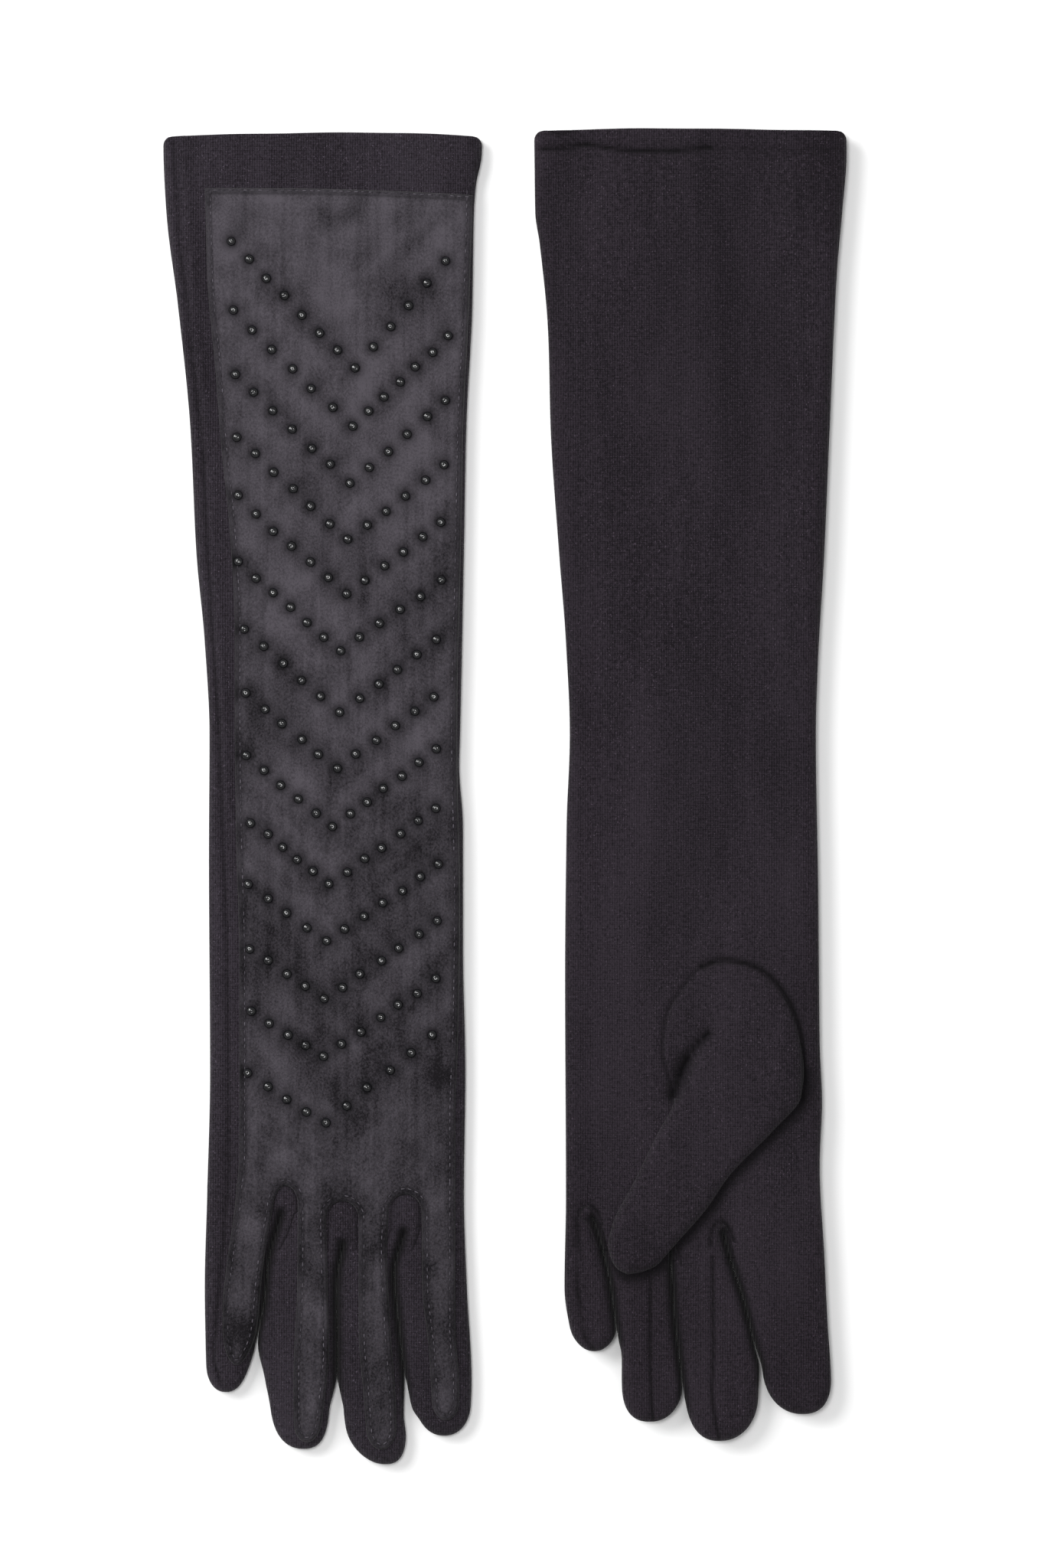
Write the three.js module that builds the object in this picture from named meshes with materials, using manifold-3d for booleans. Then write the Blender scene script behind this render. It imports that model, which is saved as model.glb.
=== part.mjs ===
// A pair of long opera gloves with studded suede backs, laid flat side by side.
// Millimetres, +Z up. The fingers point to -Y and the cuffs to +Y, and each index finger is at +X.
// The right-hand glove, at -X, lies on its palm. The left-hand glove, at +X, lies on its studded back.
// Each glove is built as if it lay on its palm, from the palm upwards.
// The left-hand one is then turned over in Z.
import * as THREE from 'three';
import { mergeVertices } from 'three/addons/utils/BufferGeometryUtils.js';
import Module from 'manifold-3d';

const wasm = await Module();
wasm.setup();

// ---- driving dimensions ----
const CLEARANCE = 0.3; // between pieces that touch on the real glove
const SEAM_GAP = 0.35; // between pieces that lie side by side in one layer
const SLEEVE_THICKNESS = 7.6; // palm skin to back skin, with the inside slightly open
const JERSEY_WALL = 1.0;
const HEM_WALL = 1.5; // the turned edge of the cuff is a double layer
const HEM_DEPTH = 5;
const SUEDE_THICKNESS = 1.2;
const STUD_DIAMETER = 2.9;
const STUD_FACE = 1.7; // the flat top of a stud
const STUD_HEIGHT = 1.3;
const THREAD = 0.5; // the sewing thread that joins a row's studs
const THUMB_THICKNESS = 3.4; // a thumb folded flat
const THUMB_WALL = 1.1;
const THUMB_CHAMFER = 1;
const CUFF_Y = 226; // the cuff's edge
const WRIST_Y = 20; // the narrowest place of the sleeve
const PALM_Y = -90;
const KNUCKLE_Y = -166; // the line on which the fingers bend
const FINGER_GAP = 1.0; // between neighbouring fingers
const EDGE_CHAMFER = 2.2; // the soft edge of a flattened sleeve
const SUEDE_EDGE_MARGIN = 1; // suede to the sleeve's index-finger edge
const SUEDE_HAND_MARGIN = 4; // the same on the hand
const STRIP_START = 1.6; // hinge to the suede strip of a finger
const SUEDE_CUFF_MARGIN = 19.5; // plain jersey between the suede and the cuff's edge
const SLIT_MOUTH = 1.0; // width of the slit between two fingers at the knuckle line
const OPEN_END = 20; // how far a cutting solid runs past an open end
const ROUND_STEPS = 6; // straight steps in a half circle
const EDGE_STEPS = 12; // straight steps along a sleeve's edge
const PAIR_OFFSETS = { right: -57.5, left: 63 }; // X of each glove's middle

const KNUCKLE_RADIUS = SLEEVE_THICKNESS / 2;
const HAND_END_Y = KNUCKLE_Y + KNUCKLE_RADIUS + SEAM_GAP;
const SUEDE_BASE = SLEEVE_THICKNESS + CLEARANCE;
const STUD_BASE = SUEDE_BASE + SUEDE_THICKNESS + CLEARANCE;
const STACK_HEIGHT = STUD_BASE + STUD_HEIGHT;

const JERSEY_BACK = { color: 0x312d33, roughness: 0.95, metalness: 0 };
const JERSEY_PALM = { color: 0x2d2a2f, roughness: 0.95, metalness: 0 };
const SUEDE = { color: 0x453f46, roughness: 0.9, metalness: 0 };
const STUD_GLOSS = { color: 0x0b0a0c, roughness: 0.15, metalness: 0.1 };

// ---- the two gloves, in X from the middle of each ----
// Edge stations run from the cuff to the palm: where, the little-finger edge, the index-finger edge.
// The y of a sleeve station is a share of the way from the wrist to the cuff.
// A finger's length runs from the knuckle line, its lean is the sideways step of its tip, and suede is the
// width and length of its strip. A crotch is where two fingers part: its jersey fork's round top and its
// slit's start are measured back from the knuckle line.
const GLOVES = {
  right: {
    sleeve: [[1, -58.3, 49.7], [0.87, -56.9, 47.2], [0.51, -49.2, 44.4], [0.22, -45, 43.1]],
    wrist: [-42.7, 42.2],
    palm: [-42.5, 44],
    littleEdge: -44.3,
    fingers: [
      { name: 'little', width: 22.3, tipWidth: 13.5, length: 36, lean: -2.9, suede: [11.5, 26.4] },
      { name: 'ring', width: 21, tipWidth: 20, length: 55.3, lean: -1.2, suede: [12, 52.7] },
      { name: 'middle', width: 19.4, tipWidth: 21, length: 60, lean: 4, suede: [10.5, 55] },
      { name: 'index', width: 23.2, tipWidth: 18, length: 50.8, lean: 3, suede: [10.5, 45] },
    ],
    crotches: [
      { name: 'little_ring', topX: -17.8, top: 34.2, endX: -19.5, width: 9.1, slit: 25 },
      { name: 'ring_middle', topX: 3, top: 29, endX: 2, width: 10.6, slit: 15 },
      { name: 'middle_index', topX: 24.3, top: 31.3, endX: 22.6, width: 10.6, slit: 18.6 },
    ],
    suedeMargins: { knuckle: 9, cuff: 13 }, // from the little-finger edge
    thumbHinge: [9, KNUCKLE_Y + 63],
    thumbTucked: true,
  },
  left: {
    sleeve: [[1, -53, 52.8], [0.87, -52.4, 51.2], [0.51, -47.5, 47.1], [0.22, -43.6, 44]],
    wrist: [-41, 42.4],
    palm: [-42.5, 43.8],
    littleEdge: -42.8,
    fingers: [
      { name: 'little', width: 13, tipWidth: 9.5, length: 22, lean: 3, suede: [6, 17] },
      { name: 'ring', width: 21.6, tipWidth: 19, length: 45.9, lean: 4, suede: [12, 42] },
      { name: 'middle', width: 22.1, tipWidth: 22, length: 52.4, lean: 5, suede: [11, 47] },
      { name: 'index', width: 28.8, tipWidth: 19, length: 43.3, lean: 5, suede: [12, 38] },
    ],
    crotches: [
      { name: 'little_ring', topX: -33, top: 28.2, endX: -30.6, width: 6, slit: 23 },
      { name: 'ring_middle', topX: -8.3, top: 23, endX: -7, width: 8, slit: 15 },
      { name: 'middle_index', topX: 10.2, top: 21.4, endX: 15, width: 8, slit: 17 },
    ],
    suedeMargins: { knuckle: 4.5, cuff: 13 },
    thumbHinge: [9, KNUCKLE_Y + 57],
    thumbTucked: false,
  },
};

// The thumb lies folded across the palm, from its seam near the index finger towards the little finger.
const THUMB = { width: 35, tipWidth: 21, length: 60, lean: 0, turn: -0.503 };
// The inset oval that the thumb is sewn to, from the thumb's hinge: a drop, pointed at the wrist end.
const GUSSET = { width: 45, height: 44, nearEnd: 4, lean: 4, slotMargin: 5, slotWidth: 5 };

// The studs' rows are chevrons. Row 0 is nearest the cuff.
const ROWS = {
  count: 14,
  firstApex: [6.8, 145.1],
  pitch: 19.4,
  lastExtra: 3,
  apexDrift: -0.82, // each row's point lies a little nearer the little finger
  // Each arm: its studs in every row, and how far it reaches out and rises in the first and the last row.
  little: { studs: [7, 6, 6, 6, 6, 6, 5, 5, 5, 5, 4, 4, 4, 4], reach: [42, 24.8], rise: [43, 15.5] },
  index: { studs: [5, 6, 5, 5, 5, 5, 5, 5, 6, 6, 6, 6, 6, 5], reach: [31, 38], rise: [33, 27] },
};

// ---- solids from three.js geometry, and back ----
function solidOf(geometry) {
  const bare = geometry.clone();
  bare.deleteAttribute('normal');
  bare.deleteAttribute('uv');
  const merged = mergeVertices(bare, 1e-4);
  const vertProperties = merged.attributes.position.array;
  const triVerts = new Uint32Array(merged.index.array);
  return new wasm.Manifold(new wasm.Mesh({ numProp: 3, vertProperties, triVerts }));
}

function geometryOf(solid) {
  const mesh = solid.getMesh();
  const geometry = new THREE.BufferGeometry();
  geometry.setAttribute('position', new THREE.BufferAttribute(mesh.vertProperties, 3));
  geometry.setIndex(new THREE.BufferAttribute(mesh.triVerts, 1));
  geometry.computeVertexNormals();
  return geometry;
}

// The same shape turned over in Z, with its faces still pointing out.
function turnedOver(geometry) {
  const turned = geometry.clone().scale(1, 1, -1);
  const corners = turned.index.array;
  for (let i = 0; i < corners.length; i += 3) {
    [corners[i + 1], corners[i + 2]] = [corners[i + 2], corners[i + 1]];
  }
  turned.computeVertexNormals();
  return turned;
}

// A plate with the given outline between two heights, with its rims chamfered if a chamfer is given.
function plate(outline, low, high, chamfer = 0) {
  const rise = Math.min(chamfer, (high - low) * 0.4);
  const geometry = new THREE.ExtrudeGeometry(new THREE.Shape(outline), {
    depth: high - low - 2 * rise,
    bevelEnabled: chamfer > 0,
    bevelThickness: rise,
    bevelSize: chamfer,
    bevelOffset: -chamfer,
    bevelSegments: 1,
  });
  return solidOf(geometry.translate(0, 0, low + rise));
}

// A long bar along X whose section in Y and Z is the given shape.
function barAlongX(section, halfLength) {
  const options = { depth: 2 * halfLength, bevelEnabled: false, curveSegments: ROUND_STEPS };
  const geometry = new THREE.ExtrudeGeometry(section, options);
  geometry.translate(0, 0, -halfLength);
  geometry.applyMatrix4(new THREE.Matrix4().makeBasis(
    new THREE.Vector3(0, 1, 0), new THREE.Vector3(0, 0, 1), new THREE.Vector3(1, 0, 0)));
  return solidOf(geometry);
}

function point(x, y) {
  return new THREE.Vector2(x, y);
}

function mix(a, b, share) {
  return a + (b - a) * share;
}

// Moves a closed, smooth outline outwards by a distance, or inwards if the distance is negative.
function grown(outline, distance) {
  const turn = Math.sign(THREE.ShapeUtils.area(outline));
  return outline.map((p, i) => {
    const before = outline[(i + outline.length - 1) % outline.length];
    const after = outline[(i + 1) % outline.length];
    const along = after.clone().sub(before).normalize();
    return point(p.x + along.y * distance * turn, p.y - along.x * distance * turn);
  });
}

// ---- outlines ----
// One edge of a sleeve from the knuckle line to the cuff.
// Side 1 is the little-finger edge and side 2 the index-finger edge.
function sleeveEdge(glove, side) {
  const knuckleX = side === 1 ? glove.littleEdge : rootSpan(glove, 3)[1];
  const stations = [
    point(knuckleX, HAND_END_Y),
    point(glove.palm[side - 1], PALM_Y),
    point(glove.wrist[side - 1], WRIST_Y),
    ...[...glove.sleeve].reverse().map((s) => point(s[side], mix(WRIST_Y, CUFF_Y, s[0]))),
  ];
  return new THREE.SplineCurve(stations).getPoints(EDGE_STEPS);
}

// X of an edge at a height Y, by straight steps between its points.
function edgeX(edge, y) {
  const next = Math.max(1, edge.findIndex((p) => p.y >= y));
  const a = edge[next - 1];
  const b = edge[next];
  return mix(a.x, b.x, (y - a.y) / (b.y - a.y));
}

// The span in X of a finger at the knuckle line; finger 0 is the little one.
function rootSpan(glove, index) {
  let left = glove.littleEdge;
  for (let i = 0; i < index; i += 1) left += glove.fingers[i].width + FINGER_GAP;
  return [left, left + glove.fingers[index].width];
}

// A notch that runs up from the hand's end and closes in a round arch; grow widens it all round.
function archPoints(crotch, grow) {
  const radius = crotch.width / 2 + grow;
  const centreY = KNUCKLE_Y + crotch.top - crotch.width / 2;
  const arc = new THREE.Path().absarc(crotch.topX, centreY, radius, Math.PI, 0, true);
  const foot = (side) => point(crotch.endX + side * radius, HAND_END_Y);
  return [foot(-1), ...arc.getPoints(ROUND_STEPS / 2), foot(1)];
}

// The hand and sleeve seen from above, from two edges, with a notch at each crotch if wanted.
function handOutline(glove, littleEdge, indexEdge, topY, endY) {
  const outline = [point(littleEdge[0].x, endY)];
  glove.crotches.forEach((crotch) => outline.push(...archPoints(crotch, SEAM_GAP)));
  outline.push(point(indexEdge[0].x, endY));
  indexEdge.slice(1).filter((p) => p.y < topY - 1).forEach((p) => outline.push(p));
  outline.push(point(edgeX(indexEdge, topY), topY), point(edgeX(littleEdge, topY), topY));
  [...littleEdge].reverse().filter((p) => p.y < topY - 1 && p.y > endY + 1).forEach((p) => outline.push(p));
  return outline;
}

// The sleeve's inside, without notches, inset by a wall and running out at both ends as asked.
function insideOutline(littleEdge, indexEdge, wall, fromY, toY) {
  const inner = (edge, sign) => edge.map((p) => point(p.x + sign * wall, p.y));
  const little = inner(littleEdge, 1).filter((p) => p.y > fromY && p.y < toY);
  const index = inner(indexEdge, -1).filter((p) => p.y > fromY && p.y < toY);
  const at = (edge, y, sign) => {
    const nearest = Math.min(Math.max(y, HAND_END_Y), CUFF_Y);
    return point(edgeX(edge, nearest) + sign * wall, y);
  };
  return [at(littleEdge, fromY, 1), at(indexEdge, fromY, -1), ...index,
    at(indexEdge, toY, -1), at(littleEdge, toY, 1), ...little.reverse()];
}

// A finger's outline from its hinge, pointing to -Y. back is how far it runs behind the hinge.
function fingerOutline({ width, tipWidth, length, lean }, back, inset = 0) {
  const shoulderY = -(length - tipWidth / 2);
  const tip = new THREE.Path().absarc(lean, shoulderY, tipWidth / 2 - inset, Math.PI, 2 * Math.PI, false);
  const half = width / 2 - inset;
  const root = [point(half, 0), point(half, back), point(-half, back)];
  return [point(-half, 0), ...tip.getPoints(ROUND_STEPS), ...root];
}

function turnedOutline(outline, centre, angle) {
  return outline.map((p) => p.clone().rotateAround(point(0, 0), angle).add(point(centre[0], centre[1])));
}

// ---- pieces ----
// The round-backed profile, seen from the side, of something that turns about X at the hinge.
function roundRoot(radius, length) {
  const section = new THREE.Shape();
  section.moveTo(-length, -radius);
  section.lineTo(0, -radius);
  section.absarc(0, 0, radius, -Math.PI / 2, Math.PI / 2, false);
  section.lineTo(-length, radius);
  section.closePath();
  return section;
}

// A hollow finger, open at its root, centred on its hinge in Y and Z.
function stall(finger, thickness, wall, chamfer) {
  const radius = thickness / 2;
  const half = finger.width / 2;
  const outer = plate(fingerOutline(finger, radius), -radius, radius, chamfer);
  // The chamfer also cuts the root end, so that end is squared again before the profile rounds it.
  const square = [point(-half, 0), point(half, 0), point(half, radius), point(-half, radius)];
  const profile = barAlongX(roundRoot(radius, finger.length + OPEN_END), finger.width + OPEN_END);
  const inside = plate(fingerOutline(finger, radius + OPEN_END, wall), wall - radius, radius - wall);
  return outer.add(plate(square, -radius, radius)).intersect(profile).subtract(inside);
}

// The two halves of the sleeve and hand, each a shallow tray that meets the other at mid-thickness.
function sleeveHalves(glove) {
  const littleEdge = sleeveEdge(glove, 1);
  const indexEdge = sleeveEdge(glove, 2);
  const farEnd = HAND_END_Y - OPEN_END;
  const farCuff = CUFF_Y + OPEN_END;
  const hemStart = CUFF_Y - HEM_DEPTH;
  const within = (wall, fromY, toY) => insideOutline(littleEdge, indexEdge, wall, fromY, toY);
  const body = plate(handOutline(glove, littleEdge, indexEdge, CUFF_Y, HAND_END_Y), 0, SLEEVE_THICKNESS);
  const rims = plate(within(0, farEnd, farCuff), 0, SLEEVE_THICKNESS, EDGE_CHAMFER);
  const inside = plate(within(JERSEY_WALL, farEnd, hemStart), JERSEY_WALL, SLEEVE_THICKNESS - JERSEY_WALL);
  const mouth = plate(within(HEM_WALL, hemStart - 1, farCuff), HEM_WALL, SLEEVE_THICKNESS - HEM_WALL);
  const shell = body.intersect(rims).subtract(inside.add(mouth));
  const middle = SLEEVE_THICKNESS / 2;
  const everywhere = within(-OPEN_END, farEnd, farCuff);
  return {
    palm: shell.subtract(plate(everywhere, middle - CLEARANCE / 2, SLEEVE_THICKNESS + 1)),
    back: shell.subtract(plate(everywhere, -1, middle + CLEARANCE / 2)),
  };
}

// The drop-shaped outline of the thumb's inset seam, in the hinge's turned frame, pointing to +Y.
function gussetOutline(hinge) {
  const { width, height, nearEnd, lean } = GUSSET;
  const half = width / 2;
  const top = new THREE.SplineCurve([
    point(half * 0.86, nearEnd),
    point(half + lean * 0.5, nearEnd + height * 0.3),
    point(half * 0.8 + lean, nearEnd + height * 0.68),
    point(lean, nearEnd + height),
    point(-half * 0.74 + lean, nearEnd + height * 0.72),
    point(-half, nearEnd + height * 0.34),
    point(-half * 0.86, nearEnd),
  ]).getPoints(2 * ROUND_STEPS);
  return turnedOutline(top, hinge, THUMB.turn);
}

function thumbOutline(hinge) {
  return turnedOutline(fingerOutline(THUMB, THUMB_THICKNESS / 2), hinge, THUMB.turn);
}

// Adds the thumb's seat to the palm: the hole for its inset patch and, for a tucked thumb, its pocket.
function seatedPalm(glove, palm) {
  const hole = plate(grown(gussetOutline(glove.thumbHinge), SEAM_GAP), -1, JERSEY_WALL + 1);
  const cut = palm.subtract(hole);
  if (!glove.thumbTucked) return cut;
  const outline = thumbOutline(glove.thumbHinge);
  const roof = plate(grown(outline, SEAM_GAP + JERSEY_WALL), 0, pocketRoof());
  const pocket = plate(grown(outline, SEAM_GAP), -1, THUMB_THICKNESS + CLEARANCE);
  return cut.add(roof).subtract(pocket).subtract(hole);
}

function pocketRoof() {
  return THUMB_THICKNESS + CLEARANCE + JERSEY_WALL;
}

// The patch inside the oval seam, with the slot where the thumb's mouth meets the hand.
function gusset(glove) {
  const patch = plate(gussetOutline(glove.thumbHinge), 0, JERSEY_WALL);
  const half = THUMB.width / 2 - GUSSET.slotMargin;
  const near = GUSSET.nearEnd + GUSSET.slotMargin / 2;
  const far = near + GUSSET.slotWidth;
  const slot = [point(-half, near), point(half, near), point(half, far), point(-half, far)];
  return patch.subtract(plate(turnedOutline(slot, glove.thumbHinge, THUMB.turn), -1, JERSEY_WALL + 1));
}

// The jersey fork between two fingers: a round-topped block split by the slit between them.
function fourchette(glove, index) {
  const crotch = glove.crotches[index];
  const slitX = rootSpan(glove, index)[1] + FINGER_GAP / 2;
  const slitY = KNUCKLE_Y + crotch.slit;
  const depth = KNUCKLE_Y + crotch.top - HAND_END_Y;
  const slitTopX = mix(crotch.topX, slitX, (crotch.top - crotch.slit) / depth);
  const outline = archPoints(crotch, 0);
  const mouthEnd = (side) => point(slitX + side * SLIT_MOUTH / 2, HAND_END_Y);
  outline.push(mouthEnd(1), point(slitTopX, slitY), mouthEnd(-1));
  const block = plate(outline, 0, SLEEVE_THICKNESS);
  if (!glove.thumbTucked) return block;
  const reach = SEAM_GAP + JERSEY_WALL + SEAM_GAP;
  return block.subtract(plate(grown(thumbOutline(glove.thumbHinge), reach), -1, pocketRoof() + CLEARANCE));
}

// The suede on the back of the hand and forearm, from just below the cuff to the knuckles.
function suedePanel(glove) {
  const { knuckle, cuff } = glove.suedeMargins;
  const little = sleeveEdge(glove, 1).map((p) => {
    const share = (p.y - HAND_END_Y) / (CUFF_Y - HAND_END_Y);
    return point(p.x + mix(knuckle, cuff, share), p.y);
  });
  const index = sleeveEdge(glove, 2).map((p) => {
    const onHand = p.y < (WRIST_Y + PALM_Y) / 2;
    return point(p.x - (onHand ? SUEDE_HAND_MARGIN : SUEDE_EDGE_MARGIN), p.y);
  });
  return plate(handOutline(glove, little, index, CUFF_Y - SUEDE_CUFF_MARGIN, HAND_END_Y), 0, SUEDE_THICKNESS);
}

// The suede on the moving part of a finger, from just past the hinge.
function suedeStrip({ suede: [width, length], lean, length: fingerLength }) {
  const strip = { width, tipWidth: width, length, lean: lean * (length / fingerLength) };
  const outline = fingerOutline(strip, -STRIP_START).filter((p) => p.y < 0);
  return plate(outline, 0, SUEDE_THICKNESS);
}

// The places of one row's studs, from the little-finger end to the index-finger end.
function rowPlaces(row) {
  const share = row / (ROWS.count - 1);
  const last = row === ROWS.count - 1 ? ROWS.lastExtra : 0;
  const apex = point(ROWS.firstApex[0] + ROWS.apexDrift * row, ROWS.firstApex[1] - ROWS.pitch * row - last);
  const arm = ({ studs, reach, rise }, sign) => {
    const end = point(sign * mix(reach[0], reach[1], share), mix(rise[0], rise[1], share));
    const place = (_, i) => end.clone().multiplyScalar((i + 1) / studs[row]).add(apex);
    return Array.from({ length: studs[row] }, place);
  };
  return [...arm(ROWS.little, -1).reverse(), apex, ...arm(ROWS.index, 1)];
}

// One row: faceted studs on their sewing thread, lofted through four-cornered sections as one closed solid.
function studRow(row) {
  const places = rowPlaces(row);
  const sections = [];
  places.forEach((place, i) => {
    const before = places[Math.max(0, i - 1)];
    const after = places[Math.min(places.length - 1, i + 1)];
    const along = after.clone().sub(before).normalize();
    const section = (offset, width, face, height) => {
      sections.push({ centre: place.clone().addScaledVector(along, offset), along, width, face, height });
    };
    const radius = STUD_DIAMETER / 2;
    section(-radius, THREAD, THREAD, THREAD);
    section(-STUD_FACE / 2, STUD_DIAMETER, STUD_FACE, STUD_HEIGHT);
    section(STUD_FACE / 2, STUD_DIAMETER, STUD_FACE, STUD_HEIGHT);
    section(radius, THREAD, THREAD, THREAD);
  });
  const corners = [];
  sections.forEach(({ centre, along, width, face, height }) => {
    const corner = (side, z) => corners.push(centre.x - along.y * side, centre.y + along.x * side, z);
    corner(width / 2, 0);
    corner(-width / 2, 0);
    corner(-face / 2, height);
    corner(face / 2, height);
  });
  const faces = [0, 1, 2, 0, 2, 3];
  for (let s = 0; s + 1 < sections.length; s += 1) {
    for (let c = 0; c < 4; c += 1) {
      const a = 4 * s + c;
      const b = 4 * s + ((c + 1) % 4);
      faces.push(a, a + 4, b + 4, a, b + 4, b);
    }
  }
  const end = 4 * (sections.length - 1);
  faces.push(end, end + 2, end + 1, end, end + 3, end + 2);
  const geometry = new THREE.BufferGeometry();
  geometry.setAttribute('position', new THREE.BufferAttribute(new Float32Array(corners), 3));
  geometry.setIndex(faces);
  return solidOf(geometry);
}

// ---- one glove ----
function makeGlove(hand, glove, turned) {
  const group = new THREE.Group();
  group.position.x = PAIR_OFFSETS[hand];
  const finishes = { jersey: turned ? JERSEY_PALM : JERSEY_BACK, suede: SUEDE, stud: STUD_GLOSS };

  // Places a solid at a height above the palm; a turned glove counts the height from its top down.
  const place = (name, solid, finish, x, y, height, angle = 0) => {
    const upright = geometryOf(solid);
    const material = new THREE.MeshStandardMaterial(finishes[finish]);
    const mesh = new THREE.Mesh(turned ? turnedOver(upright) : upright, material);
    mesh.name = `${hand}_${name}`;
    mesh.position.set(x, y, turned ? STACK_HEIGHT - height : height);
    mesh.rotation.z = angle;
    group.add(mesh);
  };

  const halves = sleeveHalves(glove);
  place('palm_panel', seatedPalm(glove, halves.palm), 'jersey', 0, 0, 0);
  place('back_panel', halves.back, 'jersey', 0, 0, 0);
  place('thumb_gusset', gusset(glove), 'jersey', 0, 0, 0);
  place('suede_panel', suedePanel(glove), 'suede', 0, 0, SUEDE_BASE);
  glove.crotches.forEach((crotch, i) => {
    place(`${crotch.name}_fourchette`, fourchette(glove, i), 'jersey', 0, 0, 0);
  });

  glove.fingers.forEach((finger, i) => {
    const [low, high] = rootSpan(glove, i);
    const middle = (low + high) / 2;
    const tube = stall(finger, SLEEVE_THICKNESS, JERSEY_WALL, EDGE_CHAMFER);
    place(`${finger.name}_finger`, tube, 'jersey', middle, KNUCKLE_Y, KNUCKLE_RADIUS);
    place(`${finger.name}_suede_strip`, suedeStrip(finger), 'suede', middle, KNUCKLE_Y, SUEDE_BASE);
  });

  const thumb = stall(THUMB, THUMB_THICKNESS, THUMB_WALL, THUMB_CHAMFER);
  const thumbHeight = glove.thumbTucked ? THUMB_THICKNESS / 2 : -CLEARANCE - THUMB_THICKNESS / 2;
  place('thumb', thumb, 'jersey', ...glove.thumbHinge, thumbHeight, THUMB.turn);

  for (let row = 0; row < ROWS.count; row += 1) {
    place(`stud_row_${String(row + 1).padStart(2, '0')}`, studRow(row), 'stud', 0, 0, STUD_BASE);
  }
  return group;
}

const pair = new THREE.Group();
pair.add(makeGlove('right', GLOVES.right, false));
pair.add(makeGlove('left', GLOVES.left, true));
export default pair;
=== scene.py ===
"""A pair of long opera gloves laid flat: one with its studded suede back up, one with its palm up."""
import logging
import math
from dataclasses import dataclass, field
from enum import Enum

import bpy
import numpy as np
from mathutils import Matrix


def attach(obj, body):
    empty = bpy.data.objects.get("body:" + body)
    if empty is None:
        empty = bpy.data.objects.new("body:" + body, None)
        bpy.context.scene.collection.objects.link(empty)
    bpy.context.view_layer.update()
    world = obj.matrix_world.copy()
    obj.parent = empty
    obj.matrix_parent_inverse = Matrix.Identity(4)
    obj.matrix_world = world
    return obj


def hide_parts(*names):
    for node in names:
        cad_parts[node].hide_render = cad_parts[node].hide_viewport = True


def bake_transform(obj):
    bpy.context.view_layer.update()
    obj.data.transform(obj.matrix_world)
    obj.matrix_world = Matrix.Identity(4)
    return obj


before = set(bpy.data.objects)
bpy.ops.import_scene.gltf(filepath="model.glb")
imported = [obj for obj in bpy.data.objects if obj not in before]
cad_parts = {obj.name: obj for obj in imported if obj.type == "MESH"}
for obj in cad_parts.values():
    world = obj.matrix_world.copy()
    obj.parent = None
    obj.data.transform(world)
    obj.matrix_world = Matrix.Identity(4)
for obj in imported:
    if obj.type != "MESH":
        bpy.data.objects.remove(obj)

MM = 0.001
LOG = logging.getLogger("gloves")
SPLIT_Y = -131.0
BLEND_START_Y = -154.0
BLEND_END_Y = -178.0
KNUCKLE_Y = (BLEND_START_Y + BLEND_END_Y) / 2
STUD_AXIS_X = -57.5
LEAST_SIDE = 0.0101
CREASE_REACH = 8.0
SUEDE_REACH = 9.0
FINGERS = ("little", "ring", "middle", "index")
CROTCHES = ("little_ring", "ring_middle", "middle_index")


class Facing(Enum):
    """Which side of a glove lies upwards."""

    BACK_UP = 1
    PALM_UP = -1


SUEDE_STEPS = {Facing.BACK_UP: 1.0, Facing.PALM_UP: 2.0}


def smoothstep(t: np.ndarray) -> np.ndarray:
    """Returns an ease from 0 to 1 as t goes from 0 to 1."""
    t = np.clip(t, 0.0, 1.0)
    return t * t * (3.0 - 2.0 * t)


def rounded(share: np.ndarray) -> np.ndarray:
    """Returns the height, 0 to 1, of a quarter-round edge at each share of its width."""
    return np.sqrt(np.maximum(1 - (1 - np.clip(share, 0.0, 1.0)) ** 2, 0.0))


def walk(left: np.ndarray, right: np.ndarray, y: np.ndarray, first: int, last: int) -> np.ndarray:
    """Goes down a finger-like piece's left edge and up its right edge.

    Args:
        left: x of the left edge at each row.
        right: x of the right edge.
        y: the rows, from top to tip.
        first: the row where the left edge starts.
        last: the row where the right edge ends.

    Returns:
        The (x, y) points of the walk.
    """
    down = np.stack([left[first:], y[first:]], axis=1)
    up = np.stack([right[last:], y[last:]], axis=1)[::-1]
    return np.concatenate([down, up])


def spread(
    left: np.ndarray, right: np.ndarray, rows: np.ndarray, share: np.ndarray
) -> tuple[np.ndarray, np.ndarray]:
    """Spreads rows of points from edge to edge.

    Args:
        left: x of the left edge at each row.
        right: x of the right edge.
        rows: y of each row.
        share: shares from 0 to 1 across the piece.

    Returns:
        The grids of x and y.
    """
    x = left[:, None] + (right - left)[:, None] * share[None, :]
    return x, np.repeat(rows[:, None], x.shape[1], axis=1)


def plan_area(left: np.ndarray, right: np.ndarray, rows: np.ndarray) -> float:
    """Returns the area between two edges seen from above, in square metres."""
    return float(((right - left)[:-1] * -np.diff(rows)).sum()) * MM * MM


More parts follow.
